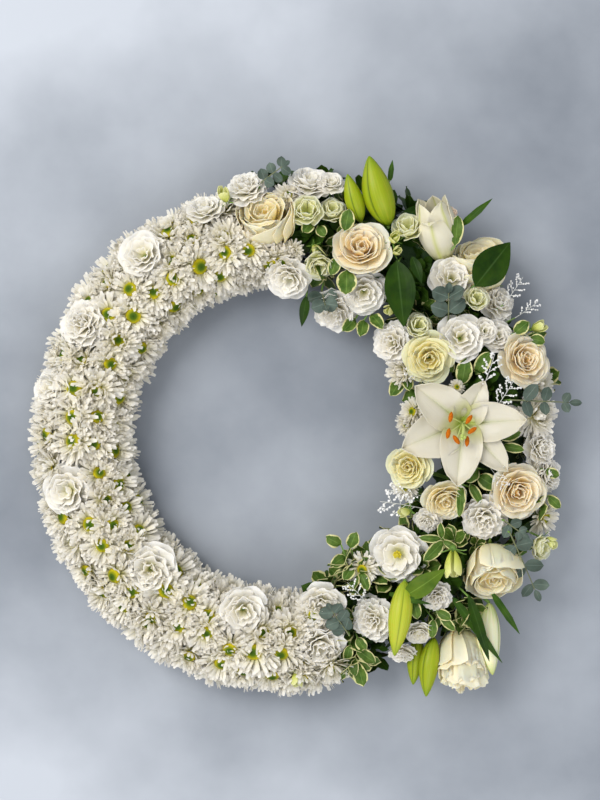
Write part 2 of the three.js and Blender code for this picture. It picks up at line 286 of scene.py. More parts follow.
def add_ribs(tree, shader, fineness, strength=0.5, distance=0.0004):
    """Gives a petal's or leaf's material its fine ribs, as relief."""
    veins = add_node(tree, "Group")
    veins.node_tree = petal_veins
    veins.inputs["Fineness"].default_value = fineness
    relief = add_node(tree, "Bump", Strength=strength, Distance=distance)
    wire(tree, (veins, "Ribs", relief, "Height"), (relief, "Normal", shader, "Normal"))


def petal_material(name, stops, roughness=0.5, fineness=6, subsurface=0.5):
    """A petal whose colour changes along it, with fine ribs and a soft glow of light through it."""
    material, tree, shader = new_material(
        name, roughness, Subsurface_Weight=subsurface, Subsurface_Scale=0.009,
        Subsurface_Radius=(1.0, 0.85, 0.6), Specular_IOR_Level=0.25,
    )
    along = add_node(tree, "Attribute", attribute_name="along")
    tint = add_node(tree, "ValToRGB")
    fill_ramp(tint, stops)
    wire(tree, (along, "Fac", tint, "Fac"), (tint, "Color", shader, "Base Color"))
    add_ribs(tree, shader, fineness)
    return material


petal_white = petal_material(
    "chrysanthemum_petal",
    [
        (0.0, (0.34, 0.35, 0.04)),
        (0.18, (0.66, 0.62, 0.28)),
        (0.42, (0.86, 0.81, 0.64)),
        (0.9, (0.91, 0.87, 0.775)),
    ],
)

flower_eye, tree, shader = new_material("chrysanthemum_eye", 0.8, Specular_IOR_Level=0.2)
along = add_node(tree, "Attribute", attribute_name="along")
tint = add_node(tree, "ValToRGB")
fill_ramp(
    tint,
    [
        (0.0, (0.025, 0.065, 0.002)),
        (0.4, (0.06, 0.12, 0.003)),
        (0.72, (0.30, 0.30, 0.005)),
        (1.0, (0.62, 0.50, 0.01)),
    ],
)
place = add_node(tree, "TexCoord")
florets = add_node(tree, "TexVoronoi", Scale=950)
grains = add_node(tree, "Bump", Strength=0.8, Distance=0.0007, invert=True)
wire(
    tree,
    (along, "Fac", tint, "Fac"),
    (tint, "Color", shader, "Base Color"),
    (place, "Object", florets, "Vector"),
    (florets, "Distance", grains, "Height"),
    (grains, "Normal", shader, "Normal"),
)

# the foam's middle line: stems are pushed towards it
FOAM_HALF_WIDTH = 0.034
foam_high = Vector(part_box("foam_ring")[1])
RING_RADIUS = foam_high.x - FOAM_HALF_WIDTH
CORE_HEIGHT = 0.028


def ring_point(around, out, up):
    """A point given as degrees round the ring, metres out from its middle and metres up."""
    a = math.radians(around)
    return Vector((out * math.cos(a), out * math.sin(a), up))


def facing(origin, way, spin=0.0):
    """A frame at a point with its Z along a way, turned about it."""
    turn = way.to_track_quat("Z", "Y").to_matrix().to_4x4()
    return Matrix.Translation(origin) @ turn @ Matrix.Rotation(spin, 4, "Z")


def centre_of(node):
    """The middle of a closed CAD node's volume, which its head fills almost alone."""
    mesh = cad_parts[node].data
    mesh.calc_loop_triangles()
    total, centre = 0.0, Vector()
    for triangle in mesh.loop_triangles:
        a, b, c = (mesh.vertices[i].co for i in triangle.vertices)
        part = a.dot(b.cross(c)) / 6
        total += part
        centre += part * (a + b + c) / 4
    return centre / total


# the large blooms that stand among the chrysanthemums, and how far each keeps its own room
BED_BLOOMS = {
    "lisianthus_bed_top": 0.024,
    "lisianthus_bed_upper": 0.028,
    "carnation_bed_upper": 0.030,
    "lisianthus_bed_left": 0.028,
    "lisianthus_bed_lower": 0.030,
    "lisianthus_bed_bottom": 0.032,
    "lisianthus_bed_foot": 0.030,
    "carnation_bed_foot": 0.036,
    "carnation_crown": 0.028,
    "rose_crown": 0.040,
    "lisianthus_crown_inner": 0.026,
}
room = [(centre_of(node), reach) for node, reach in BED_BLOOMS.items()]
# the eucalyptus at the end of the bed needs room as well
room.append((ring_point(-76.5, 0.260, 0.085), 0.030))

# where the bed starts and ends in degrees, in how many sprays, how far its arch stands off the foam's
# middle on the outside, on the inside and upwards, and how far apart its heads are
BED = {
    "start": 99,
    "end": 282,
    "sprays": 10,
    "outer": 0.058,
    "inner": 0.046,
    "rise": 0.058,
    "spacing": 0.036,
}
# the bed stands a little off the middle of the foam, towards the foot of the wreath
BED_SHIFT = Vector((-0.0087, -0.0155, 0))
BED_RADIUS = RING_RADIUS - 0.009
# each row of heads: how far over the foam it stands and where it begins, in degrees
BED_ROWS = ((14, 103), (44, 101), (74, 98), (104, 95), (136, 92), (164, 91))

heads = [
    chrysanthemum_head("chrysanthemum_open", 1.0, 1),
    chrysanthemum_head("chrysanthemum_wide", 0.9, 2),
    chrysanthemum_head("chrysanthemum_half", 0.7, 3),
    chrysanthemum_head("chrysanthemum_young", 0.4, 4),
]

rng = random.Random(11)
sprays = [[] for _ in range(BED["sprays"])]
for row, (over, begin) in enumerate(BED_ROWS):
    arch = BED["outer"] if over < 90 else BED["inner"]
    radius = BED_RADIUS + arch * math.cos(math.radians(over))
    length = math.radians(BED["end"] - begin) * radius
    count = round(length / BED["spacing"])
    for k in range(count):
        step = k + 0.3 + 0.4 * (row % 2) + rng.uniform(-0.12, 0.12)
        around = begin + (BED["end"] - begin) * step / count
        share = (around - BED["start"]) / (BED["end"] - BED["start"])
        o = math.radians(over + rng.gauss(0, 3.5))
        out = BED_RADIUS + arch * math.cos(o)
        centre = ring_point(around, out, CORE_HEIGHT + BED["rise"] * math.sin(o)) + BED_SHIFT
        if any((centre - middle).length < reach for middle, reach in room):
            continue
        outward = ring_point(around, math.cos(o), math.sin(o))
        outward += Vector((rng.gauss(0, 0.14), rng.gauss(0, 0.14), rng.gauss(0, 0.14)))
        head = rng.choices(heads, weights=(5, 4, 3, 2))[0]
        size = Matrix.Scale(rng.uniform(0.9, 1.1), 4)
        member = copied(head, facing(centre, outward, rng.uniform(0, 6.28)) @ size)
        spray = max(0, min(BED["sprays"] - 1, int(share * BED["sprays"])))
        sprays[spray].append(member)
for number, placed in enumerate(sprays):
    spray = join("chrysanthemums_%02d" % (number + 1), placed)
    rest_on_floor(spray)
    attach(spray, "root")
    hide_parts("chrysanthemum_spray_%02d" % (number + 1))

# ---- Lisianthus and carnations ----
# Double white blooms. A lisianthus has broad wavy petals round a green heart; a carnation has many
# fringed ones. Each stands on its own stem, pushed through the bed or the greenery into the foam.


def reach_of(node, centre, axis):
    """How far a head spreads round its axis."""
    offsets = (point.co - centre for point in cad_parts[node].data.vertices)
    flat = [o - axis * o.dot(axis) for o in offsets if o.dot(axis) > -0.008]
    return max(o.length for o in flat)


def direction(heading, tilt):
    """The way a flower faces: its heading in degrees, and its tilt from straight up."""
    h, t = math.radians(heading), math.radians(tilt)
    return Vector((math.sin(t) * math.cos(h), math.sin(t) * math.sin(h), math.cos(t)))


def shaped_sheet(across, along, shape, thickness=0.0005):
    """A thin closed sheet: a grid moved to shape(t, s), t from -1 to 1 across it, s from 0 to 1 along."""
    bpy.ops.object.select_all(action="DESELECT")
    bpy.ops.mesh.primitive_grid_add(x_subdivisions=across, y_subdivisions=along, size=2)
    sheet = bpy.context.object
    mark(sheet, across=lambda co: co.x, along=lambda co: (co.y + 1) / 2)
    for point in sheet.data.vertices:
        point.co = shape(point.co.x, (point.co.y + 1) / 2)
    wall = sheet.modifiers.new("wall", "SOLIDIFY")
    wall.thickness = thickness
    wall.offset = 0
    bpy.ops.object.modifier_apply(modifier="wall")
    bpy.ops.object.shade_smooth_by_angle(angle=math.radians(50))
    return sheet


# how far from a flower's axis its petals begin
PETAL_FOOT = 0.0015


def cup_shape(rng, length, width, opening, cup, lip, ruffle=0.0, waves=2.0, fringe=0):
    """A petal that rises from the flower's middle and wraps round its axis.

    Opening is its lean from the axis, cup is how much it bows and lip how far its end rolls out. A
    fringed petal has that many teeth across its end."""
    steps = 30
    profile = [(PETAL_FOOT, 0.0, 0.0)]
    for k in range(1, steps + 1):
        s = k / steps
        rolled = max(0.0, (s - 0.68) / 0.32)
        lean = math.radians(opening + cup * (1 - 2 * s) + lip * rolled * rolled * 2)
        r, z, _ = profile[-1]
        profile.append((r + math.sin(lean) * length / steps, z + math.cos(lean) * length / steps, lean))
    first, second = rng.uniform(0, 6.28), rng.uniform(0, 6.28)
    skew = rng.uniform(-0.05, 0.05)

    def shape(t, s):
        teeth = 0.025 * math.cos(math.pi * fringe * (t + 1)) if fringe else 0
        end = s * (0.94 - 0.14 * t * t + teeth)
        r, z, lean = profile[round(end * steps)]
        half = width / 2 * (0.28 + 0.72 * math.sin(math.pi / 2 * min(1, end / 0.72)))
        swing = half * (t + skew) / (r + 0.16 * width)
        wave = math.sin(waves * math.pi * t + first) + 0.35 * math.sin(1.8 * waves * math.pi * t + second)
        push = ruffle * end**3 * wave + 0.05 * width * t**4 * end + 0.03 * width * t * end
        r, z = r + push * math.cos(lean), z - push * math.sin(lean)
        return Vector((r * math.sin(swing), r * math.cos(swing), z))

    return shape


# each whorl is turned a little past the one outside it, in radians
WHORL_TURN = 0.3


def whorled(whorls, seed, across, along, paint, span=(0, 1), **extra):
    """The petals of a double flower facing +Z, from its whorls, outermost first.

    Each whorl is a number of petals, their length, width, opening, cup and lip. Span is how near the
    flower's heart the first and the last whorl are."""
    rng = random.Random(seed)
    petals = []
    for row, (count, length, width, opening, cup, lip) in enumerate(whorls):
        for k in range(count):
            size = rng.uniform(0.92, 1.06)
            lean, roll = opening + rng.gauss(0, 4), lip + rng.gauss(0, 5)
            shape = cup_shape(rng, length * size, width * size, lean, cup, roll, **extra)
            petal = shaped_sheet(across, along, shape)
            mark(petal, heart=span[0] + (span[1] - span[0]) * row / max(1, len(whorls) - 1))
            around = 2 * math.pi * (k + 0.5 * (row % 2)) / count + rng.gauss(0, 0.12) + row * WHORL_TURN
            petal.data.transform(Matrix.Rotation(around, 4, "Z"))
            petal.data.materials.append(paint)
            petals.append(petal)
    return petals


SEPALS = 5


def green_sepals(length, width):
    """The green sepals and the swollen cup under a flower, hanging from its foot."""
    rng = random.Random(5)
    sepals = []
    for k in range(SEPALS):
        shape = cup_shape(rng, length, width, 75, -10, 20)
        sepal = shaped_sheet(2, 4, lambda t, s: shape(t * (1.02 - s), s))
        turn = Matrix.Rotation(2 * math.pi * k / SEPALS, 4, "Z")
        sepal.data.transform(Matrix.Translation((0, 0, -0.001)) @ turn)
        sepals.append(sepal)
    bpy.ops.object.select_all(action="DESELECT")
    bpy.ops.mesh.primitive_uv_sphere_add(segments=8, ring_count=6, radius=width * 0.55)
    hip = bpy.context.object
    bpy.ops.object.shade_smooth()
    hip.data.transform(Matrix.Translation((0, 0, -width * 0.3)))
    mark(hip, along=0.2)
    for piece in (*sepals, hip):
        piece.data.materials.append(stalk_green)
    return [*sepals, hip]


# a stem ends this far short of the foam's middle line
STEM_SHORT = 0.016


def stem_to_foam(start, radius):
    """A cut stem from a flower's foot down towards the middle of the foam."""
    around = math.degrees(math.atan2(start.y, start.x))
    end = ring_point(around, RING_RADIUS, CORE_HEIGHT)
    end += (start - end).normalized() * STEM_SHORT
    length = (end - start).length
    bpy.ops.object.select_all(action="DESELECT")
    bpy.ops.mesh.primitive_cone_add(vertices=6, radius1=radius, radius2=radius * 0.85, depth=length)
    stem = bpy.context.object
    bpy.ops.object.shade_smooth()
    stem.data.transform(facing((start + end) / 2, end - start))
    mark(stem, along=0.5)
    stem.data.materials.append(stalk_green)
    return stem


def plant(name, node, model, centre, axis, scale, sunk, slot, spin, stem=0.002):
    """Sets a copy of a flower facing along axis, its foot sunk below centre, on its stem."""
    foot = centre - axis * sunk * scale
    bloom = copied(model, facing(foot, axis, spin) @ Matrix.Scale(scale, 4))
    bloom = join(name, [bloom, stem_to_foam(foot, stem)])
    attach(bloom, "root")
    if node:
        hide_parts(node)
    return bloom


stalk_green = petal_material(
    "stalk_green", [(0.0, (0.10, 0.20, 0.035)), (1.0, (0.17, 0.30, 0.06))], roughness=0.45, subsurface=0.1
)
stamen_yellow = petal_material(
    "stamen_yellow", [(0.0, (0.42, 0.36, 0.02)), (1.0, (0.55, 0.45, 0.03))], roughness=0.8, subsurface=0.1
)
lisianthus_white = petal_material(
    "lisianthus_petal",
    [
        (0.0, (0.52, 0.52, 0.12)),
        (0.3, (0.80, 0.76, 0.50)),
        (0.6, (0.87, 0.83, 0.71)),
        (0.95, (0.91, 0.875, 0.79)),
    ],
    fineness=4,
)
carnation_white = petal_material(
    "carnation_petal",
    [
        (0.0, (0.60, 0.58, 0.22)),
        (0.35, (0.82, 0.77, 0.56)),
        (0.7, (0.88, 0.84, 0.73)),
        (0.95, (0.91, 0.875, 0.79)),
    ],
    fineness=9,
)

LISIANTHUS_RADIUS = 0.030
LISIANTHUS_WHORLS = (
    (5, 0.0330, 0.046, 78, 14, 8),
    (5, 0.0315, 0.043, 62, 20, 12),
    (5, 0.0290, 0.037, 47, 24, 14),
    (4, 0.0260, 0.031, 33, 24, 10),
    (3, 0.0225, 0.025, 18, 22, 4),
)
CARNATION_RADIUS = 0.030
CARNATION_WHORLS = (
    (6, 0.0320, 0.040, 82, 12, 8),
    (6, 0.0310, 0.037, 67, 14, 10),
    (6, 0.0290, 0.033, 52, 16, 8),
    (5, 0.0270, 0.029, 38, 18, 4),
    (4, 0.0250, 0.025, 24, 16, 0),
    (3, 0.0230, 0.019, 10, 12, 0),
)


def lisianthus(name, seed, whorls=LISIANTHUS_WHORLS, paint=None, stamens=0, ruffle=0.0022):
    """A lisianthus facing +Z. A wide open one shows a ring of yellow stamens round its pistil."""
    petals = whorled(whorls, seed, 9, 5, paint or lisianthus_white, ruffle=ruffle, waves=1.7)
    inside = []
    for k in range(stamens):
        bpy.ops.object.select_all(action="DESELECT")
        at = ring_point(45 * k, 0.0032 if k else 0, 0.0105 if k else 0.0125)
        bpy.ops.mesh.primitive_ico_sphere_add(subdivisions=1, radius=0.0016 if k else 0.0026, location=at)
        inside.append(join("stamen", [bpy.context.object]))
        mark(inside[-1], along=0.5)
        inside[-1].data.materials.append(stamen_yellow)
    return join(name, [*petals, *inside, *green_sepals(0.014, 0.006)])


def carnation(name, seed):
    """A carnation facing +Z, its fringed petals packed to the middle."""
    petals = whorled(CARNATION_WHORLS, seed, 12, 4, carnation_white, ruffle=0.0028, waves=1.6, fringe=8)
    return join(name, [*petals, *green_sepals(0.010, 0.007)])


lisianthus_models = [lisianthus("lisianthus_model_%d" % n, 20 + n) for n in range(3)]
lisianthus_open = lisianthus("lisianthus_open_model", 23, LISIANTHUS_WHORLS[:4], stamens=8)
carnation_models = [carnation("carnation_model_%d" % n, 30 + n) for n in range(2)]

# a bloom's petals reach a little past its solid, and those of one carnation more
BLOOM_FILL = 1.12
FULLER = {"carnation_bed_foot": 1.35}
# the heading and tilt of each bloom's face, in degrees
BLOOMS = {
    "lisianthus_bed_top": (100, 48),
    "lisianthus_bed_upper": (130, 18),
    "carnation_bed_upper": (154, 25),
    "lisianthus_bed_left": (171, 42),
    "lisianthus_bed_lower": (190, 18),
    "lisianthus_bed_bottom": (-135, 8),
    "lisianthus_bed_foot": (-75, 12),
    "carnation_bed_foot": (-70, 32),
    "carnation_crown": (105, 45),
    "lisianthus_crown": (85, 45),
    "lisianthus_crown_inner": (-115, 35),
    "carnation_inner_top": (-105, 40),
    "lisianthus_face_top": (-90, 20),
    "carnation_inner_upper": (195, 30),
    "lisianthus_shoulder": (60, 15),
    "lisianthus_face_upper": (60, 8),
    "carnation_shoulder": (30, 40),
    "carnation_right": (0, 40),
    "carnation_face_lower": (-90, 25),
    "lisianthus_inner_lower": (-150, 15),
    "carnation_inner_foot": (180, 25),
}

for number, (node, (heading, tilt)) in enumerate(BLOOMS.items()):
    kind = node.split("_")[0]
    models = lisianthus_models if kind == "lisianthus" else carnation_models
    model_radius = LISIANTHUS_RADIUS if kind == "lisianthus" else CARNATION_RADIUS
    axis = direction(heading, tilt)
    centre = centre_of(node)
    scale = FULLER.get(node, BLOOM_FILL) * reach_of(node, centre, axis) / model_radius
    model = lisianthus_open if node == "lisianthus_inner_lower" else models[number % len(models)]
    plant(node + "_bloom", node, model, centre, axis, scale, 0.010, kind, number * 1.3)

# ---- Roses ----
# Cream, peach and greenish-white garden roses on thick stems. Their petals open in whorls from a
# tight heart, and the outer ones roll back at their ends.


def rose_material(name, outer, inner, heart_colour, rim):
    """Petals that are warmer towards the heart of the flower and paler at their rims."""
    material, tree, shader = new_material(
        name, 0.5, Subsurface_Weight=0.6, Subsurface_Scale=0.009,
        Subsurface_Radius=(1.0, 0.65, 0.35), Specular_IOR_Level=0.3,
    )
    along = add_node(tree, "Attribute", attribute_name="along")
    heart = add_node(tree, "Attribute", attribute_name="heart")
    shade = add_node(tree, "ValToRGB")
    fill_ramp(shade, [(0.1, inner), (0.6, outer), (0.95, rim)])
    warm = add_node(tree, "ValToRGB")
    fill_ramp(warm, [(0.1, heart_colour), (0.75, inner), (1.0, rim)])
    mix = add_node(tree, "MixRGB", blend_type="MIX")
    wire(
        tree,
        (along, "Fac", shade, "Fac"),
        (along, "Fac", warm, "Fac"),
        (heart, "Fac", mix, "Fac"),
        (shade, "Color", mix, "Color1"),
        (warm, "Color", mix, "Color2"),
        (mix, "Color", shader, "Base Color"),
    )
    add_ribs(tree, shader, 5, strength=0.35)
    return material


rose_cream = rose_material(
    "rose_cream", (0.95, 0.81, 0.46), (0.96, 0.76, 0.32), (1.0, 0.76, 0.32), (0.95, 0.84, 0.55)
)
rose_peach = rose_material(
    "rose_peach", (0.95, 0.78, 0.47), (0.97, 0.70, 0.33), (1.0, 0.67, 0.30), (0.95, 0.82, 0.57)
)
rose_green = rose_material(
    "rose_green_cream", (0.89, 0.80, 0.36), (0.93, 0.78, 0.28), (1.0, 0.80, 0.30), (0.91, 0.84, 0.47)
)

GARDEN_WHORLS = (
    (5, 0.041, 0.056, 68, 18, 24),
    (5, 0.039, 0.052, 57, 22, 20),
    (5, 0.037, 0.045, 47, 25, 15),
    (5, 0.034, 0.038, 38, 27, 11),
    (5, 0.031, 0.031, 29, 27, 8),
    (4, 0.028, 0.026, 21, 26, 4),
    (4, 0.025, 0.020, 13, 24, 2),
    (3, 0.022, 0.014, 6, 20, 0),
)
GOBLET_WHORLS = (
    (4, 0.058, 0.072, 27, 50, 26),
    (4, 0.060, 0.068, 25, 50, 17),
    (4, 0.060, 0.060, 23, 46, 12),
)
# the heart of a goblet is the same as a garden rose's, raised to its mouth
HEART_RISE = 0.0225
HANGING_WHORLS = (
    (3, 0.066, 0.128, 20, 50, 36),
    (3, 0.077, 0.120, 18, 48, 48),
    (3, 0.087, 0.108, 15, 44, 52),
    (3, 0.091, 0.078, 12, 38, 46),
    (3, 0.092, 0.050, 9, 31, 34),
    (2, 0.090, 0.030, 5, 22, 18),
)

# each form of rose: its whorls, radius, steps across a petal, span, ruffle, waves, and spin
ROSE_FORMS = {
    "garden": (GARDEN_WHORLS, 0.038, 9, (0, 1), 0.0012, 1.5, 0),
    "goblet": (GOBLET_WHORLS, 0.0285, 9, (0, 0.4), 0.0008, 1.5, 0),
    "hanging": (HANGING_WHORLS, 1, 20, (0, 0.4), 0.0026, 3.5, -0.35),
}


def rose(name, form, paint, seed):
    """A rose facing +Z, with its sepals. A goblet gets a garden rose's heart."""
    whorls, _, across, span, ruffle, waves, _ = ROSE_FORMS[form]
    petals = whorled(whorls, seed, across, 8, paint, span, ruffle=ruffle, waves=waves)
    if form == "goblet":
        heart = whorled(GARDEN_WHORLS[3:], seed + 40, 10, 8, paint, (0.4, 1), ruffle=0.0008, waves=1.5)
        for petal in heart:
            petal.data.transform(Matrix.Translation((0, 0, HEART_RISE)) @ Matrix.Scale(0.95, 4))
        petals += heart
    return join(name, [*petals, *green_sepals(0.022, 0.009)])


# each rose: heading and tilt of its face, form, colour, radius, how far its foot is below its centre
ROSES = {
    "rose_crown": (116, 42, "goblet", rose_cream, 0.037, 0.030),
    "rose_open_top": (88, 24, "garden", rose_peach, 0.041, 0.010),
    "rose_inner_upper": (-95, 12, "garden", rose_green, 0.035, 0.006),
    "rose_outer_upper": (20, 22, "garden", rose_peach, 0.038, 0.006),
    "rose_inner_lower": (185, 20, "garden", rose_green, 0.032, 0.006),
    "rose_centre_lower": (-78, 34, "garden", rose_cream, 0.032, 0.012),
    "rose_outer_lower": (-40, 16, "garden", rose_peach, 0.041, 0.006),
    "rose_nodding": (-85, 52, "goblet", rose_cream, 0.037, 0.028),
    "rose_foot": (-87, 78, "hanging", rose_cream, 1, 0.036),
    "rose_shoulder": (100, 60, "goblet", rose_cream, 0.037, 0.034),
}

for number, (node, (heading, tilt, form, paint, radius, sunk)) in enumerate(ROSES.items()):
    model = rose(node + "_model", form, paint, 50 + number)
    _, model_radius, *_, spin = ROSE_FORMS[form]
    scale = radius / model_radius
    axis = direction(heading, tilt)
    plant(node + "_bloom", node, model, centre_of(node), axis, scale, sunk, "rose", spin, 0.003)
    bpy.data.objects.remove(model)

# ---- Lily ----
# One open oriental lily: six waxy white petals that flare from a green throat, six rust-coloured
# anthers on pale filaments and a pistil with a blunt tip. A half-open one stands near the top.

# how many steps a petal's middle line is worked out in
PATH_STEPS = 40
# a lily petal leans evenly up to the start of its roll, and rolls over the rest of its length
ROLL_START = 0.55
ROLL_SHARE = 0.45


def petal_path(length, leans):
    """A petal's middle line as (out, up, lean), leaning by its angles at foot, middle and tip."""
    foot, middle, tip = leans
    path = [(0.002, 0.0, math.radians(foot))]
    for k in range(1, PATH_STEPS + 1):
        s = k / PATH_STEPS
        if s < ROLL_START:
            lean = foot + (middle - foot) * s / ROLL_START
        else:
            lean = middle + (tip - middle) * ((s - ROLL_START) / ROLL_SHARE) ** 1.4
        lean = math.radians(lean)
        r, z, _ = path[-1]
        out, up = math.sin(lean) * length / PATH_STEPS, math.cos(lean) * length / PATH_STEPS
        path.append((r + out, z + up, lean))
    return path


# how deep a lily petal is channelled, its sunk rib included, and the wave of its edges
CHANNEL_DEPTH = 0.15
RIB_DEPTH = 0.065
EDGE_WAVE = 0.0034


def lily_petal_shape(length, width, leans, phase):
    """A broad lance-shaped petal with a sunk rib and wavy edges."""
    path = petal_path(length, leans)

    def shape(t, s):
        r, z, lean = path[round(s * PATH_STEPS)]
        swell = math.sin(math.pi * s**0.85) ** 0.62 * (1 - 0.3 * s**14)
        half = width / 2 * max(0.10 * (1 - s) + 0.015, swell)
        rib = -RIB_DEPTH * width * math.exp(-((t / 0.14) ** 2)) * math.sin(math.pi * s)
        edge = EDGE_WAVE * abs(t) ** 2.5 * math.sin(9 * s + phase + 2.2 * t)
        rise = CHANNEL_DEPTH * width * t * t + rib + edge
        return Vector((half * t, r - rise * math.cos(lean), z + rise * math.sin(lean)))

    return shape


TRUMPET_LENGTH = 0.088
# the share of a trumpet petal's length that turns out at its tip, and where it starts
TRUMPET_TIP = 0.22
TIP_START = 1 - TRUMPET_TIP


def trumpet_petal_shape(length, width, radius, flare, fold, phase):
    """A petal of a lily that is still a trumpet: it wraps round the axis and its tip turns out.

    Fold is how far the tip rolls back, in radians."""

    def shape(t, s):
        up = min(s, TIP_START) if fold else s
        r = 0.003 + radius * math.sin(math.pi * (0.03 + 0.84 * up * length / TRUMPET_LENGTH)) ** 0.9
        r += flare * max(0, (s - TIP_START) / TRUMPET_TIP) ** 2
        roll = fold * (s - up) / TRUMPET_TIP
        curl = TRUMPET_TIP * length / max(fold, 0.1)
        r += curl * (1 - math.cos(roll))
        half = width / 2 * max(0.03, math.sin(math.pi * s**0.8) ** 0.6)
        turn = half * t / max(r, 0.006)
        rib = 0.0012 * math.exp(-((t / 0.16) ** 2))
        rib += 0.0010 * abs(t) ** 2 * math.sin(8 * s + phase + 2 * t)
        dip = 0.12 * flare * t * t * s
        rise = length * up + curl * math.sin(roll) - dip
        return Vector(((r + rib) * math.sin(turn), (r + rib) * math.cos(turn), rise))

    return shape


def stalk(points, radius, paint, thin=1.0, sides=6):
    """A round stalk along its points, made from a curve with a round section."""
    curve = bpy.data.curves.new("stalk", "CURVE")
    curve.dimensions = "3D"
    curve.bevel_depth = radius
    curve.bevel_resolution = max(0, sides // 2 - 2)
    curve.use_fill_caps = True
    curve.resolution_u = 3
    spline = curve.splines.new("POLY" if len(points) == 2 else "NURBS")
    spline.points.add(len(points) - 1)
    for number, (knot, co) in enumerate(zip(spline.points, points)):
        knot.co = (*co, 1)
        knot.radius = 1 + (thin - 1) * number / (len(points) - 1)
    if len(points) > 2:
        spline.order_u = 3
        spline.use_endpoint_u = True
    piece = bpy.data.objects.new("stalk", curve)
    bpy.context.collection.objects.link(piece)
    select_only(piece)
    bpy.ops.object.convert(target="MESH")
    piece = bpy.context.object
    bpy.ops.object.shade_smooth()
    mark(piece, along=0.5)
    piece.data.materials.clear()
    piece.data.materials.append(paint)
    return piece


def lily_material(name, throat, rib, foot, petal, rib_end=0.05):
    """White petals, green in the throat and along the rib."""
    material, tree, shader = new_material(
        name, 0.42, Subsurface_Weight=0.4, Subsurface_Scale=0.006,
        Subsurface_Radius=(1.0, 0.9, 0.65), Specular_IOR_Level=0.35,
    )
    along = add_node(tree, "Attribute", attribute_name="along")
    across = add_node(tree, "Attribute", attribute_name="across")
    shade = add_node(tree, "ValToRGB")
    fill_ramp(shade, [(0.0, throat), (0.16, foot), (0.4, petal), (1.0, petal)])
    side = add_node(tree, "Math", operation="ABSOLUTE")
    band = add_node(tree, "ValToRGB")
    fill_ramp(band, [(0.0, (1, 1, 1)), (0.10, (0.4, 0.4, 0.4)), (0.2, (0, 0, 0))])
    fade = add_node(tree, "ValToRGB")
    fill_ramp(fade, [(0.1, (0.85, 0.85, 0.85)), (0.5, (0.25 + rib_end / 2,) * 3), (0.9, (rib_end,) * 3)])
    strength = add_node(tree, "Math", operation="MULTIPLY")
    mix = add_node(tree, "MixRGB", Color2=(*rib, 1))
    wire(
        tree,
        (along, "Fac", shade, "Fac"),
        (across, "Fac", side, 0),
        (side, 0, band, "Fac"),
        (along, "Fac", fade, "Fac"),
        (band, "Color", strength, 0),
        (fade, "Color", strength, 1),
        (strength, 0, mix, "Fac"),
        (shade, "Color", mix, "Color1"),
        (mix, "Color", shader, "Base Color"),
    )
    add_ribs(tree, shader, 8, distance=0.0008)
    return material


# painted shade: the open lily's white petals are painted greyer and creamier than they are, and their foot
# yellower, which is partly its real yellow-green and partly painted shade in the cup
lily_white_painted_shade = lily_material(
    "lily_petal", (0.28, 0.38, 0.03), (0.36, 0.45, 0.08), (0.50, 0.50, 0.19), (0.61, 0.57, 0.46)
)
lily_ribbed = lily_material(
    "lily_petal_ribbed", (0.30, 0.39, 0.06), (0.42, 0.46, 0.08), (0.60, 0.59, 0.30), (0.70, 0.65, 0.48), 0.7
)
filament_green = petal_material(
    "filament_green", [(0.0, (0.36, 0.46, 0.10)), (1.0, (0.56, 0.64, 0.28))], roughness=0.4
)
anther_rust, tree, shader = new_material("anther_rust", 0.9, Specular_IOR_Level=0.1)
place = add_node(tree, "TexCoord")
pollen = add_node(tree, "TexNoise", Scale=700, Detail=3)
tint = add_node(tree, "ValToRGB")
fill_ramp(tint, [(0.3, (0.34, 0.075, 0.004)), (0.7, (0.54, 0.15, 0.006))])
grains = add_node(tree, "Bump", Strength=0.6, Distance=0.0004)
wire(
    tree,
    (place, "Object", pollen, "Vector"),
    (pollen, "Fac", tint, "Fac"),
    (tint, "Color", shader, "Base Color"),
    (pollen, "Fac", grains, "Height"),
    (grains, "Normal", shader, "Normal"),
)

# each petal of the open lily: heading in degrees, length, width, leans at foot, middle and tip
LILY_PETALS = (
    (3, 0.087, 0.052, (34, 76, 92)),
    (64, 0.066, 0.042, (30, 60, 128)),
    (143, 0.089, 0.056, (34, 72, 86)),
    (202, 0.090, 0.062, (42, 80, 98)),
    (263, 0.088, 0.056, (34, 74, 98)),
    (313, 0.088, 0.042, (40, 80, 104)),
)
# each anther: right, up and height over the throat, and its turn in degrees, in mm
LILY_ANTHERS = (
    (-18, 8, 40, 80),
    (5, 5, 44, 55),
    (9, -9, 46, 35),
    (-21, -13, 38, 78),
    (-11, -21, 42, 125),
    (3, -23, 40, 86),
)
MM = 0.001

lily_parts = []
for number, (heading, length, width, leans) in enumerate(LILY_PETALS):
    shape = lily_petal_shape(length, width, leans, number * 2.1)
    petal = shaped_sheet(12, 22, shape, 0.0009)
    low = Matrix.Translation((0, 0, -0.0014 * (number % 2)))
    petal.data.transform(Matrix.Rotation(math.radians(heading - 90), 4, "Z") @ low)
    petal.data.materials.append(lily_white_painted_shade)
    lily_parts.append(petal)
for right, up, height, turn in LILY_ANTHERS:
    top = Vector((right, up, height)) * MM
    knee = Vector((right * 0.35, up * 0.35, height * 0.62)) * MM
    lily_parts.append(stalk([(0, 0, 0.004), knee, top], 0.0010, filament_green, thin=0.7))
    bpy.ops.object.select_all(action="DESELECT")
    bpy.ops.mesh.primitive_uv_sphere_add(segments=10, ring_count=8, radius=0.0072)
    anther = bpy.context.object
    bpy.ops.object.shade_smooth()
    mark(anther, along=0.5)
    anther.data.transform(Matrix.Diagonal((1, 0.34, 0.30, 1)))
    for point in anther.data.vertices:
        point.co.z -= 9 * point.co.x**2
        point.co.y *= 1 - 0.25 * math.cos(2 * math.pi * point.co.y / 0.0049)
    anther.data.transform(Matrix.Translation(top) @ Matrix.Rotation(math.radians(turn), 4, "Z"))
    anther.data.materials.append(anther_rust)
    lily_parts.append(anther)
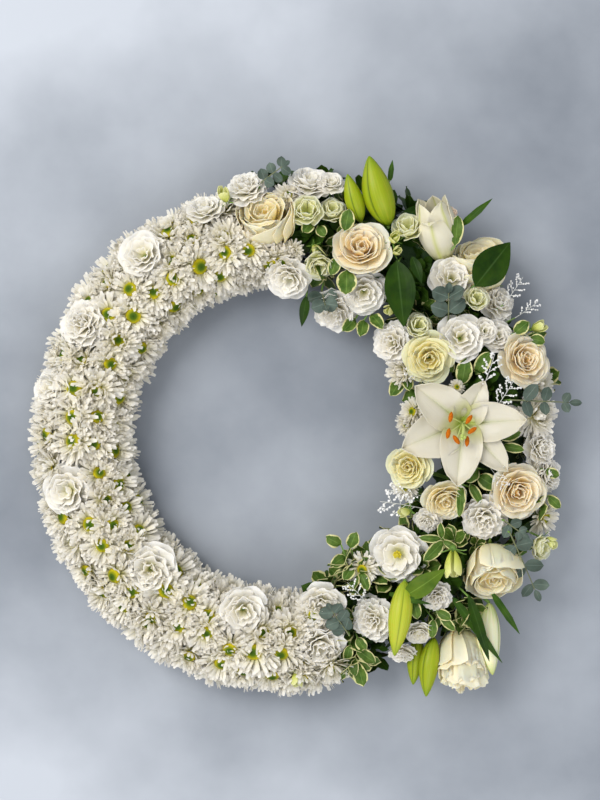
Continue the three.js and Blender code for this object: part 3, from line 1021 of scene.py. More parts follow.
PISTIL = [(0, 0, 0), (0, -0.002, 0.018), (-0.001, -0.009, 0.034), (-0.003, -0.017, 0.047)]
PISTIL_TIP = Vector((-0.003, -0.0175, 0.0475))
lily_parts.append(stalk(PISTIL, 0.0021, filament_green))
for k in range(3):
    bpy.ops.object.select_all(action="DESELECT")
    bpy.ops.mesh.primitive_uv_sphere_add(segments=8, ring_count=5, radius=0.0027)
    lobe = bpy.context.object
    bpy.ops.object.shade_smooth()
    mark(lobe, along=0.1)
    lobe.data.transform(Matrix.Translation(PISTIL_TIP + 0.0019 * ring_point(120 * k, 1, 0)))
    lobe.data.materials.append(filament_green)
    lily_parts.append(lobe)
lily_model = join("lily_model", lily_parts)

# its throat is off the middle of its solid, and 42 mm under its top
lily_centre = centre_of("lily") + Vector((-0.0045, 0.0065, 0))
lily_centre.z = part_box("lily")[1][2] - 0.042
plant("lily_open", "lily", lily_model, lily_centre, Vector((0, 0, 1)), 1.0, 0, "lily", math.pi, 0.004)
bpy.data.objects.remove(lily_model)

# the half-open lily's petals, the one in front first: heading in degrees, length, width, radius,
# flare and fold. The one in front is short and its tip has already rolled back.
TRUMPET_PETALS = (
    (0, 0.078, 0.052, 0.0251, 0, 2.5),
    (47, 0.088, 0.062, 0.0218, 0.004, 0),
    (120, 0.088, 0.052, 0.0237, 0.008, 0),
    (180, 0.088, 0.050, 0.0215, 0.002, 0),
    (240, 0.088, 0.052, 0.0237, 0.006, 0),
    (313, 0.088, 0.062, 0.0215, 0.009, 0),
)
half_open_parts = []
for number, (heading, length, width, radius, flare, fold) in enumerate(TRUMPET_PETALS):
    petal = shaped_sheet(10, 22, trumpet_petal_shape(length, width, radius, flare, fold, number), 0.0009)
    petal.data.transform(Matrix.Rotation(math.radians(-heading), 4, "Z"))
    petal.data.materials.append(lily_ribbed)
    half_open_parts.append(petal)
half_open_model = join("half_open_model", half_open_parts)
half_open_centre = centre_of("lily_half_open") + Vector((0.004, 0, 0))
plant(
    "lily_half_open_bloom", "lily_half_open", half_open_model, half_open_centre,
    direction(105, 68), 1.0, 0.042, "lily", -0.35, 0.0035,
)
bpy.data.objects.remove(half_open_model)

# ---- Lily buds ----
# Closed buds of the same lily: three petals show, folded edge to edge, yellow-green and smooth.
# Each stands on its own stalk, and the stalks are pushed into the foam.


def bud_model(length, radius, paint):
    """A spindle along +Z from its foot with three thin grooves between its petals, slightly bent."""
    bpy.ops.object.select_all(action="DESELECT")
    bpy.ops.mesh.primitive_uv_sphere_add(segments=48, ring_count=20, radius=1)
    bud = bpy.context.object
    bpy.ops.object.shade_smooth()
    mark(bud, along=lambda co: (co.z + 1) / 2)
    mark(bud, across=lambda co: abs(math.sin(1.5 * math.atan2(co.y, co.x))))
    for point in bud.data.vertices:
        around = math.atan2(point.co.y, point.co.x)
        s = (point.co.z + 1) / 2
        groove = math.exp(-((math.sin(1.5 * around) / 0.16) ** 2))
        crest = math.exp(-((math.cos(1.5 * around) / 0.30) ** 2))
        lobes = 1 - 0.085 * groove * math.sin(math.pi * s) + 0.02 * crest
        swell = math.sin(math.pi * s**0.92) ** 0.62 * (1.0 - 0.30 * s**3)
        r = radius * swell * lobes
        lean = 0.04 * length * math.sin(math.pi * s)
        point.co = (r * math.cos(around) + lean, r * math.sin(around), length * s)
    bud.data.materials.append(paint)
    return bud


def bud_material(name, side, groove_shade, foot, streak):
    """Smooth waxy petals with a dark line in each groove as painted shade, paler streaks and a greener foot
    and tip.
    """
    material, tree, shader = new_material(
        name, 0.45, Subsurface_Weight=0.2, Subsurface_Scale=0.004, Specular_IOR_Level=0.28
    )
    along = add_node(tree, "Attribute", attribute_name="along")
    lobe = add_node(tree, "Attribute", attribute_name="across")
    ends = add_node(tree, "ValToRGB")
    fill_ramp(ends, [(0.0, foot), (0.3, side), (0.8, side), (1.0, foot)])
    # painted shade: a dark line painted along each groove between the petals
    groove_shade_band = add_node(tree, "ValToRGB")
    fill_ramp(groove_shade_band, [(0.0, (1, 1, 1)), (0.09, (0.5, 0.5, 0.5)), (0.2, (0, 0, 0))])
    spread = add_node(tree, "CombineXYZ")
    stretch = add_node(tree, "Math", operation="MULTIPLY")
    stretch.inputs[1].default_value = 9
    streaks = add_node(tree, "TexNoise", Scale=1, Detail=3)
    pale = add_node(tree, "MixRGB", Color2=(*streak, 1))
    amount = add_node(tree, "ValToRGB")
    fill_ramp(amount, [(0.45, (0, 0, 0)), (0.75, (0.7, 0.7, 0.7))])
    relief = add_node(tree, "Bump", Strength=0.25, Distance=0.0005)
    mix = add_node(tree, "MixRGB", Color2=(*groove_shade, 1))
    wire(
        tree,
        (along, "Fac", ends, "Fac"),
        (lobe, "Fac", groove_shade_band, "Fac"),
        (lobe, "Fac", stretch, 0),
        (stretch, 0, spread, "X"),
        (along, "Fac", spread, "Y"),
        (spread, 0, streaks, "Vector"),
        (streaks, "Fac", amount, "Fac"),
        (amount, "Color", pale, "Fac"),
        (ends, "Color", pale, "Color1"),
        (groove_shade_band, "Color", mix, "Fac"),
        (pale, "Color", mix, "Color1"),
        (mix, "Color", shader, "Base Color"),
        (streaks, "Fac", relief, "Height"),
        (relief, "Normal", shader, "Normal"),
    )
    return material


# each bud's colours: its sides, the painted shade in its grooves, its foot and tip, and its streaks
bud_green = bud_material(
    "lily_bud_green", (0.25, 0.32, 0.004), (0.09, 0.14, 0.002), (0.15, 0.25, 0.004), (0.34, 0.38, 0.02)
)
bud_yellow = bud_material(
    "lily_bud_yellow", (0.38, 0.43, 0.02), (0.20, 0.26, 0.008), (0.20, 0.31, 0.008), (0.50, 0.51, 0.08)
)
bud_white = bud_material(
    "lily_bud_white", (0.74, 0.75, 0.48), (0.30, 0.40, 0.05), (0.34, 0.44, 0.06), (0.84, 0.83, 0.70)
)

# each bud: heading and tilt of its tip, length, radius, colour, and how far it hangs off its solid
STRAIGHT = (0, 0, 0)
HANGING = (0.006, -0.003, 0)
LILY_BUDS = {
    "lily_bud_crown_large": (107, 75, 0.095, 0.0205, bud_green, STRAIGHT),
    "lily_bud_crown_small": (107, 75, 0.065, 0.0125, bud_green, STRAIGHT),
    "lily_bud_face": (-98, 88, 0.098, 0.0155, bud_yellow, STRAIGHT),
    "lily_bud_foot_inner": (-97, 84, 0.064, 0.0115, bud_green, HANGING),
    "lily_bud_foot_outer": (-98, 86, 0.078, 0.0135, bud_green, HANGING),
    "lily_bud_white": (-88, 84, 0.094, 0.0162, bud_white, HANGING),
}
for number, (node, (heading, tilt, length, radius, paint, hang)) in enumerate(LILY_BUDS.items()):
    model = bud_model(length, radius, paint)
    centre = centre_of(node) + Vector(hang)
    axis = direction(heading, tilt)
    spin = math.radians(50 + 20 * number)
    plant(node + "_shape", node, model, centre, axis, 1.0, length * 0.48, "lily_bud", spin, 0.0026)
    bpy.data.objects.remove(model)

# ---- Small blooms ----
# Half-open green-cream lisianthus, their closed buds, and small white blooms that fill the gaps
# between the large flowers. All stand on thin stems in the foam.

green_cream = petal_material(
    "green_cream_petal",
    [(0.0, (0.74, 0.76, 0.22)), (0.5, (0.84, 0.83, 0.36)), (1.0, (0.88, 0.86, 0.54))],
    fineness=4, subsurface=0.8,
)
green_bud = petal_material(
    "green_bud_petal",
    [(0.0, (0.44, 0.52, 0.05)), (0.5, (0.60, 0.64, 0.12)), (1.0, (0.74, 0.74, 0.28))],
    fineness=4,
)
GREEN_WHORLS = (
    (5, 0.0235, 0.034, 48, 34, 16),
    (4, 0.0235, 0.031, 36, 33, 12),
    (4, 0.0232, 0.026, 25, 30, 8),
    (3, 0.0226, 0.020, 14, 26, 3),
)
CLOSED_WHORLS = ((3, 0.0230, 0.017, 14, 26, -6), (2, 0.0220, 0.012, 6, 20, 0))
small_green = lisianthus("small_green_model", 81, GREEN_WHORLS, green_cream, ruffle=0.0012)
closed_petals = whorled(CLOSED_WHORLS, 82, 6, 6, green_bud, ruffle=0.0003)
closed_green = join("closed_green_model", [*closed_petals, *green_sepals(0.012, 0.005)])

carnation_peach = petal_material(
    "carnation_peach",
    [(0.0, (0.60, 0.50, 0.16)), (0.4, (0.90, 0.60, 0.38)), (1.0, (0.92, 0.74, 0.56))],
    fineness=9,
)
peach_petals = whorled(CARNATION_WHORLS[2:], 84, 10, 5, carnation_peach, ruffle=0.002, fringe=6)
peach_bud = join("peach_bud_model", [*peach_petals, *green_sepals(0.024, 0.018)])

THIN_STEM = 0.0014
# each bloom: degrees round the ring, distance out and up in mm, heading and tilt, model, scale
SMALL_BLOOMS = {
    "green_lisianthus_crown": (86.3, 280, 98, 90, 15, small_green, 1.2),
    "green_lisianthus_top": (79.7, 286, 86, 80, 30, small_green, 1.0),
    "green_lisianthus_inner_top": (80.7, 210, 88, -90, 30, small_green, 1.05),
    "green_lisianthus_upper": (38.6, 208, 96, 60, 20, small_green, 1.0),
    "green_lisianthus_face": (34.9, 289, 98, 60, 20, small_green, 0.95),
    "green_lisianthus_foot": (-26, 361, 74, -20, 45, small_green, 1.0),
    "green_lisianthus_shoulder": (60.1, 299, 88, 100, 35, small_green, 1.15),
    "peach_bud_shoulder": (53.8, 347, 80, 60, 50, peach_bud, 0.42),
    "green_bud_inner_top": (82.5, 231, 84, -60, 40, closed_green, 0.9),
    "green_bud_open_rose": (61.6, 277, 98, 60, 20, closed_green, 1.0),
    "green_bud_leaf": (59.3, 264, 98, 30, 30, closed_green, 0.8),
    "green_bud_inner_upper": (50.4, 196, 84, 200, 40, closed_green, 0.9),
    "green_bud_inner_lower": (-37.9, 183, 84, 200, 50, closed_green, 0.9),
    "green_bud_face_lower": (-41, 274, 104, -90, 72, closed_green, 1.75),
    "green_bud_right": (22, 347, 76, 20, 60, closed_green, 1.0),
    "green_bud_foot": (-24.3, 369, 70, -30, 60, closed_green, 1.0),
    "green_bud_bed_top": (106.4, 315, 86, 110, 50, closed_green, 1.1),
    "green_bud_bed_foot": (-89.1, 331, 80, -85, 66, closed_green, 1.0),
    "white_bloom_face_upper": (26.7, 278, 92, 60, 15, lisianthus_models[1], 0.62),
    "white_bloom_centre": (-50, 290, 92, -90, 20, carnation_models[0], 0.68),
    "white_bloom_foot_inner": (-59, 316, 80, -90, 40, lisianthus_models[2], 0.62),
    "white_bloom_foot": (-64.6, 332, 66, -100, 50, carnation_models[1], 0.62),
    "white_bloom_inner": (-35.5, 214, 84, -120, 30, carnation_models[0], 0.6),
    "white_bloom_right": (-10.9, 344, 66, 0, 50, carnation_models[1], 0.8),
    "white_bloom_bed_foot": (-81, 236, 92, -100, 20, lisianthus_models[0], 1.0),
    "white_bloom_lily_right": (1, 286, 84, 0, 20, lisianthus_models[1], 0.75),
    "white_bloom_shoulder": (24, 292, 84, 40, 20, lisianthus_models[2], 0.7),
    "white_bloom_crown": (81, 322, 84, 85, 40, lisianthus_models[2], 0.62),
}
for number, (name, (around, out, up, heading, tilt, model, scale)) in enumerate(SMALL_BLOOMS.items()):
    centre, axis = ring_point(around, out * MM, up * MM), direction(heading, tilt)
    plant(name, None, model, centre, axis, scale, 0.012, "lisianthus", number * 0.9, THIN_STEM)

# single chrysanthemums of the mixed half: degrees round the ring, mm out and up, heading, tilt, scale
SMALL_CHRYSANTHEMUMS = {
    "chrysanthemum_lily_top": (13.5, 218, 92, 60, 15, 0.33),
    "chrysanthemum_inner_centre": (7, 158, 74, 180, 40, 0.62),
    "chrysanthemum_inner_lily": (1, 150, 66, 190, 50, 0.60),
    "chrysanthemum_inner_rose": (26.5, 160, 66, 200, 45, 0.85),
    "chrysanthemum_inner_low": (-28, 166, 72, 200, 40, 0.62),
    "chrysanthemum_foot_inner": (-64, 206, 84, -140, 20, 0.72),
    "chrysanthemum_right_upper": (10, 326, 62, 10, 50, 0.9),
    "chrysanthemum_right": (2.5, 318, 78, 0, 35, 1.05),
    "chrysanthemum_right_lower": (-12, 328, 62, -10, 50, 0.85),
    "chrysanthemum_right_foot": (-20, 352, 50, -20, 60, 0.85),
    "chrysanthemum_crown": (91, 300, 80, 90, 30, 0.7),
    "chrysanthemum_crown_inner": (90, 228, 82, -90, 20, 0.55),
    "chrysanthemum_crown_low": (94, 216, 76, -90, 30, 0.8),
    "chrysanthemum_foot": (-84, 246, 84, -80, 15, 0.85),
    "chrysanthemum_foot_low": (-81, 318, 70, -80, 50, 0.95),
    "chrysanthemum_foot_gap": (-87.6, 309, 80, -85, 35, 0.62),
}
for number, (name, (around, out, up, heading, tilt, scale)) in enumerate(SMALL_CHRYSANTHEMUMS.items()):
    centre, axis = ring_point(around, out * MM, up * MM), direction(heading, tilt)
    plant(name, None, heads[number % 4], centre, axis, scale, 0.002, "chrysanthemum", number, THIN_STEM)
small_models = (small_green, closed_green, peach_bud, lisianthus_open)
for model in (*small_models, *lisianthus_models, *carnation_models, *heads):
    bpy.data.objects.remove(model)

# ---- Leaves and blades ----
# Long dark lily leaves and thin grass blades, creased along the middle. Each is pushed into the
# foam by its own foot.


def leaf_material(name, stops, roughness, edge=None):
    """A leaf with a paler midrib, uneven colour and, on a variegated one, a cream edge."""
    material, tree, shader = new_material(
        name, roughness, Subsurface_Weight=0.05, Subsurface_Scale=0.002, Specular_IOR_Level=0.13
    )
    place = add_node(tree, "TexCoord")
    across = add_node(tree, "Attribute", attribute_name="across")
    patches = add_node(tree, "TexNoise", Scale=130 if edge else 55, Detail=4)
    shade = add_node(tree, "ValToRGB")
    fill_ramp(shade, stops)
    side = add_node(tree, "Math", operation="ABSOLUTE")
    rib = add_node(tree, "ValToRGB")
    fill_ramp(rib, [(0.0, (0.22, 0.22, 0.22)), (0.08, (0, 0, 0))])
    mix = add_node(tree, "MixRGB", Color2=(*[min(1, c * 3 + 0.06) for c in stops[-1][1]], 1))
    wire(
        tree,
        (place, "Object", patches, "Vector"),
        (patches, "Fac", shade, "Fac"),
        (across, "Fac", side, 0),
        (side, 0, rib, "Fac"),
        (rib, "Color", mix, "Fac"),
        (shade, "Color", mix, "Color1"),
    )
    colour = mix.outputs["Color"]
    if edge:
        ragged = add_node(tree, "Math", operation="MULTIPLY_ADD")
        ragged.inputs[1].default_value = -0.8
        band = add_node(tree, "ValToRGB")
        fill_ramp(band, [(0.36, (0, 0, 0)), (0.44, (1, 1, 1))])
        rim = add_node(tree, "MixRGB", Color2=(*edge, 1))
        wire(
            tree,
            (patches, "Fac", ragged, 0),
            (side, 0, ragged, 2),
            (ragged, 0, band, "Fac"),
            (band, "Color", rim, "Fac"),
        )
        tree.links.new(colour, rim.inputs["Color1"])
        colour = rim.outputs["Color"]
    tree.links.new(colour, shader.inputs["Base Color"])
    add_ribs(tree, shader, 8, distance=0.0006)
    return material


# outlines of a leaf: the share of its width at s, from 0 at its base to 1 at its tip


def lance(s):
    return max(0.03, math.sin(math.pi * s**0.8) ** 0.9)


def oval(s):
    return max(0.04, math.sin(math.pi * s) ** 0.55)


def spoon(s):
    return max(0.05, math.sin(math.pi * s**1.25) ** 0.62)


def strap(s):
    return max(0.04, min(1, 4 * s + 0.4, (1 - s) * 2.4) ** 0.8)


def leaf(base, tip, width, paint, outline=lance, up=None, bow=0.10, fold=0.14, wave=0.0, across=4, along=6):
    """A leaf from its base to its tip, creased along its middle and bowed towards up."""
    base, tip = Vector(base), Vector(tip)
    y = (tip - base).normalized()
    x = y.cross(up or Vector((0, 0, 1)))
    if x.length < 0.05:
        x = y.cross(Vector((1, 0, 0)))
    x.normalize()
    z = x.cross(y)
    length = (tip - base).length

    def shape(t, s):
        half = width / 2 * outline(s)
        rise = bow * length * math.sin(math.pi * s) + fold * half * abs(t)
        rise += wave * t * t * math.sin(9 * s + 2 * t)
        return base + x * half * t + y * length * s + z * rise

    blade = shaped_sheet(across, along, shape, 0.0005)
    blade.data.materials.append(paint)
    return blade


def settle(name, parts, node=None):
    """Joins the parts of a sprig or a leaf into one piece, which stands for its CAD node if it has one."""
    piece = join(name, parts)
    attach(piece, "root")
    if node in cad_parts:
        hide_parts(node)
    return piece


def mm_point(around, out, up):
    """A point given as degrees round the ring, mm out from its middle and mm up."""
    return ring_point(around, out * MM, up * MM)


dark_leaf = leaf_material(
    "lily_leaf_green", [(0.3, (0.006, 0.024, 0.0004)), (0.7, (0.018, 0.050, 0.0008))], 0.38
)
face_leaf = leaf_material(
    "lily_leaf_light", [(0.3, (0.045, 0.095, 0.004)), (0.7, (0.10, 0.165, 0.014))], 0.42
)
grass_green = leaf_material(
    "grass_green", [(0.3, (0.014, 0.046, 0.002)), (0.7, (0.034, 0.085, 0.004))], 0.42
)

# each leaf: its base and tip as (degrees round the ring, mm out, mm up), width in mm, bow, colour
LEAVES = {
    "lily_leaf_centre": ((58, 252, 108), (42, 192, 106), 40, 0.04, dark_leaf),
    "lily_leaf_shoulder": ((37.6, 296, 104), (40.3, 368, 94), 44, 0.03, dark_leaf),
    "lily_leaf_arc": ((63.1, 293, 70), (59.4, 338, 66), 16, 0.20, dark_leaf),
    "lily_leaf_fold": ((55, 268, 98), (48, 248, 104), 14, 0.10, dark_leaf),
    "lily_leaf_hanging": ((84, 172, 72), (85, 131, 60), 13, 0.05, dark_leaf),
    "lily_leaf_lower": ((-57, 262, 100), (-43, 268, 110), 27, 0.12, face_leaf),
    "lily_leaf_strap": ((-43.7, 314, 92), (-50.1, 396, 94), 15, 0.05, dark_leaf),
}
for name, (base, tip, width, bow, paint) in LEAVES.items():
    start, end = mm_point(*base), mm_point(*tip)
    blade = leaf(start, end, width * MM, paint, bow=bow, along=12)
    stem = stem_to_foam(start + (end - start) * 0.05, THIN_STEM)
    settle(name + "_blade", [blade, stem], name)

# each blade of grass: its base, tip, width and bow, as above
BLADES = {
    "grass_blade_foot": ((-47, 306, 84), (-48.5, 412, 74), 11, 0.05),
    "grass_blade_foot_short": ((-40, 340, 76), (-42.5, 402, 68), 9, 0.08),
    "grass_blade_crown": ((68.5, 344, 78), (69.5, 369, 86), 7, 0.05),
    "grass_blade_shoulder": ((50, 342, 80), (48.8, 392, 92), 9, 0.12),
    "grass_blade_face": ((-60, 250, 90), (-52, 290, 104), 8, 0.16),
}
for name, (base, tip, width, bow) in BLADES.items():
    start, end = mm_point(*base), mm_point(*tip)
    blade = leaf(start, end, width * MM, grass_green, strap, bow=bow, along=12, across=2)
    stem = stem_to_foam(start + (end - start) * 0.04, 0.0012)
    settle(name + "_strap", [blade, stem], name)

# ---- Eucalyptus ----
# Twigs of blue-grey eucalyptus with round or oval leaves in pairs, matt with a waxy bloom. The cut
# foot of each twig is pushed into the foam between the flowers.

eucalyptus_blue = leaf_material(
    "eucalyptus_leaf", [(0.3, (0.040, 0.060, 0.048)), (0.7, (0.100, 0.135, 0.112))], roughness=0.62
)
twig_brown = petal_material(
    "twig_brown", [(0.0, (0.12, 0.14, 0.07)), (1.0, (0.18, 0.19, 0.10))], roughness=0.7, subsurface=0.0
)


def eucalyptus_twig(name, base, tip, leaf_length, leaf_width, pairs, seed, shrink, node=None):
    """A twig from base to tip with pairs of leaves in mm, which shrink by a share towards its tip."""
    rng = random.Random(seed)
    start, end = mm_point(*base), mm_point(*tip)
    along = (end - start).normalized()
    side = along.cross(Vector((0, 0, 1))).normalized()
    droop = Vector((0, 0, 0.06 * (end - start).length))
    parts = [stalk([start, (start + end) / 2 + droop, end], 0.0011, twig_brown, thin=0.6)]
    for k in range(pairs):
        share = (k + 0.7) / pairs
        knot = start.lerp(end, share) + droop * 4 * share * (1 - share) * 0.5
        size = 1 - shrink * share
        for hand in (-1, 1):
            lean = math.radians(rng.uniform(50, 80))
            way = along * math.cos(lean) + side * hand * math.sin(lean)
            way += Vector((0, 0, rng.uniform(-0.25, 0.35)))
            far = knot + way.normalized() * leaf_length * MM * size * rng.uniform(0.85, 1.1)
            normal = Vector((rng.gauss(0, 0.35), rng.gauss(0, 0.35), 1))
            bow, width = rng.uniform(-0.04, 0.08), leaf_width * MM * size
            parts.append(leaf(knot, far, width, eucalyptus_blue, oval, normal, bow, 0.06))
    far = end + along * leaf_length * MM * 0.6
    parts.append(leaf(end, far, leaf_width * MM * 0.45, eucalyptus_blue, oval))
    parts.append(stem_to_foam(start, 0.0015))
    settle(name, parts, node)


# each twig: base and tip as (degrees round the ring, mm out, mm up), length and width of its leaves
# in mm, how many pairs, seed, how much they shrink, and the CAD node that it stands for
EUCALYPTUS_TWIGS = {
    "eucalyptus_twig_right": ((7, 282, 106), (5.0, 358, 96), 29, 20, 3, 1, 0.45, "eucalyptus_right"),
    "eucalyptus_twig_foot": ((-26, 312, 92), (-34, 380, 78), 29, 20, 3, 2, 0.25, "eucalyptus_foot"),
    "eucalyptus_twig_inner": ((-74.9, 280, 90), (-78, 242, 100), 20, 18, 3, 3, 0.1, "eucalyptus_inner"),
    "eucalyptus_twig_open": ((78, 182, 62), (75, 162, 92), 22, 22, 2, 4, 0.1),
    "eucalyptus_twig_face": ((34, 243, 86), (40.6, 264, 106), 26, 23, 2, 5, 0.1),
    "eucalyptus_twig_crown": ((98, 318, 80), (92, 338, 92), 17, 15, 3, 6, 0.2),
    "eucalyptus_twig_low": ((-24, 300, 88), (-25, 326, 92), 22, 16, 2, 8, 0.45),
}
for name, twig in EUCALYPTUS_TWIGS.items():
    eucalyptus_twig(name, *twig)

# ---- Pittosporum ----
# The filling of the mixed half: short sprigs of pittosporum, small wavy leaves of mid green with a
# cream edge, in a tuft at each twig's end. They hide the foam between the flowers.

pittosporum_leaf = leaf_material(
    "pittosporum_leaf", [(0.3, (0.035, 0.085, 0.010)), (0.7, (0.095, 0.160, 0.026))], 0.40,
    edge=(0.58, 0.56, 0.27),
)
plain_leaf = leaf_material(
    "small_leaf_green", [(0.3, (0.009, 0.034, 0.002)), (0.7, (0.036, 0.082, 0.008))], 0.42
)
# how far each leaf stands round a twig from the last one, in degrees, and how wavy its edge is
LEAF_TURN = 137.5
LEAF_WAVE = 0.0018


def tuft_model(name, seed, paint, leaf_length, leaf_width, count):
    """A twig along +Z with a tuft of leaves round its end, foot at the origin."""
    rng = random.Random(seed)
    parts = [stalk([(0, 0, 0), (0.001, 0.001, 0.025), (0, 0, 0.045)], 0.0011, twig_brown, thin=0.7)]
    for k in range(count):
        around = k * LEAF_TURN + rng.gauss(0, 12)
        lean = 88 - 62 * k / count + rng.gauss(0, 8)
        base = Vector((0, 0, 0.030 + 0.015 * k / count))
        way = direction(around, lean)
        tip = base + way * (leaf_length * rng.uniform(0.8, 1.1))
        width = leaf_width * rng.uniform(0.85, 1.1)
        up, bow = Vector((0, 0, 1)) + way * -0.4, rng.uniform(-0.06, 0.1)
        parts.append(leaf(base, tip, width, paint, spoon, up, bow, 0.16, LEAF_WAVE, across=2, along=5))
    return join(name, parts)


tufts = [tuft_model("tuft_%d" % n, 90 + n, pittosporum_leaf, 0.034, 0.023, 7) for n in range(3)]
tufts.append(tuft_model("tuft_plain", 95, plain_leaf, 0.040, 0.024, 8))

# where the flowers stand and how far they reach, so that the sprigs under them stay short
UPWARDS = Vector((0, 0, 1))
standing = [(centre_of(node), reach_of(node, centre_of(node), UPWARDS)) for node in (*BLOOMS, *ROSES)]
standing.append((lily_centre + Vector((0, 0, 0.020)), 0.085))
standing.append((centre_of("lily_half_open"), 0.040))
standing += [(centre_of(node), 0.030) for node in LILY_BUDS]
standing += [(mm_point(around, out, up), 0.02) for around, out, up, *_ in SMALL_BLOOMS.values()]
TUFT_REACH = 0.078


def room_for(foot, outward):
    """How much of a sprig's length fits under the flowers in its way, from 0 to 1."""
    free = 1.0
    for middle, reach in standing:
        away = middle - foot
        ahead = away.dot(outward)
        aside = (away - outward * ahead).length
        if ahead > 0 and aside < reach + 0.018:
            free = min(free, (ahead - 0.004) / TUFT_REACH)
    return free


def foam_point(around, o, wide, high):
    """A point in the foam beside its middle line, at an angle o over it."""
    return ring_point(around, RING_RADIUS + wide * math.cos(o), CORE_HEIGHT + high * math.sin(o))


def set_tuft(tuft, foot, outward, spin, size):
    """A copy of a tuft that stands on its foot and points outward."""
    return copied(tuft, facing(foot, outward, spin) @ Matrix.Scale(size, 4))


# sprigs of the foam's mixed half: rows by how far over the foam they stand, in degrees. They are
# shorter on the outer side near both ends of the bed, and are left out where there is no room.
MIXED = {"start": -79, "end": 97, "step": 9.5}
SPRIG_ROWS = (4, 38, 70, 104, 140, 172)
LEAST_SIZE = 0.35
rng = random.Random(5)
filling = []
rows = range(int((MIXED["end"] - MIXED["start"]) / MIXED["step"]))
for number in rows:
    for row, over in enumerate(SPRIG_ROWS):
        around = MIXED["start"] + MIXED["step"] * (number + 0.5 * (row % 2) + rng.uniform(-0.2, 0.2))
        o = math.radians(over + rng.gauss(0, 6))
        outward = ring_point(around, math.cos(o), math.sin(o))
        outward += Vector((rng.gauss(0, 0.2), rng.gauss(0, 0.2), rng.gauss(0, 0.15)))
        foot = foam_point(around, o, 0.022, 0.018)
        outward.normalize()
        size = rng.uniform(0.9, 1.1) * room_for(foot, outward)
        if over < 30 and (around > 50 or around < -55):
            size *= 0.75
        if size < LEAST_SIZE:
            continue
        tuft = rng.choices(tufts, weights=(3, 3, 3, 4))[0]
        filling.append(set_tuft(tuft, foot, outward, rng.uniform(0, 6.28), size))
rest_on_floor(settle("foliage_sprigs", filling))

# plain leaves under them close what gaps are left
filling = []
for around in range(MIXED["start"], MIXED["end"], 7):
    for over in (25, 60, 90, 120, 155):
        o = math.radians(over + rng.gauss(0, 8))
        outward = ring_point(around + rng.gauss(0, 2), math.cos(o), math.sin(o))
        outward += ring_point(rng.uniform(0, 360), 0.3, 0)
        foot = foam_point(around + rng.gauss(0, 2), o, 0.016, 0.004)
        size = min(0.6 if over < 70 and around < -55 else 0.85, room_for(foot, outward.normalized()))
        if size > LEAST_SIZE:
            filling.append(set_tuft(tufts[3], foot, outward, rng.uniform(0, 6.28), size))
# low ones cover the foam's outer side where the bed begins and ends
for around, over in ((88, 10), (93, 32), (97, 8), (-82, 10), (-86, 30)):
    o = math.radians(over)
    outward = ring_point(around, math.cos(o), math.sin(o))
    filling.append(set_tuft(tufts[3], foam_point(around, o, 0.022, 0.018), outward, around, 0.68))
rest_on_floor(settle("foliage_filling", filling))

# longer sprigs that stand out from the filling: foot, tip, as (degrees, mm out, mm up)
SPRIG_LENGTH = 0.066
SPRIGS = {
    "pittosporum_foot": ((-74, 290, 56), (-74.5, 318, 56)),
    "pittosporum_inner_lower": ((-67, 212, 70), (-71, 180, 80)),
    "pittosporum_inner_low": ((-62, 220, 64), (-62, 190, 76)),
    "pittosporum_inner_upper": ((12, 196, 62), (17, 162, 72)),
    "pittosporum_right": ((19, 316, 50), (21.5, 340, 60)),
    "pittosporum_top": ((80, 222, 66), (82, 196, 76)),
    "pittosporum_low_right": ((-16, 330, 60), (-18, 352, 66)),
}
for number, (name, (base, tip)) in enumerate(SPRIGS.items()):
    start, end = mm_point(*base), mm_point(*tip)
    start = end - (end - start).normalized() * SPRIG_LENGTH
    tuft = copied(tufts[number % 3], facing(start, end - start, number * 1.1))
    settle(name + "_sprig", [tuft, stem_to_foam(start, THIN_STEM)], name)
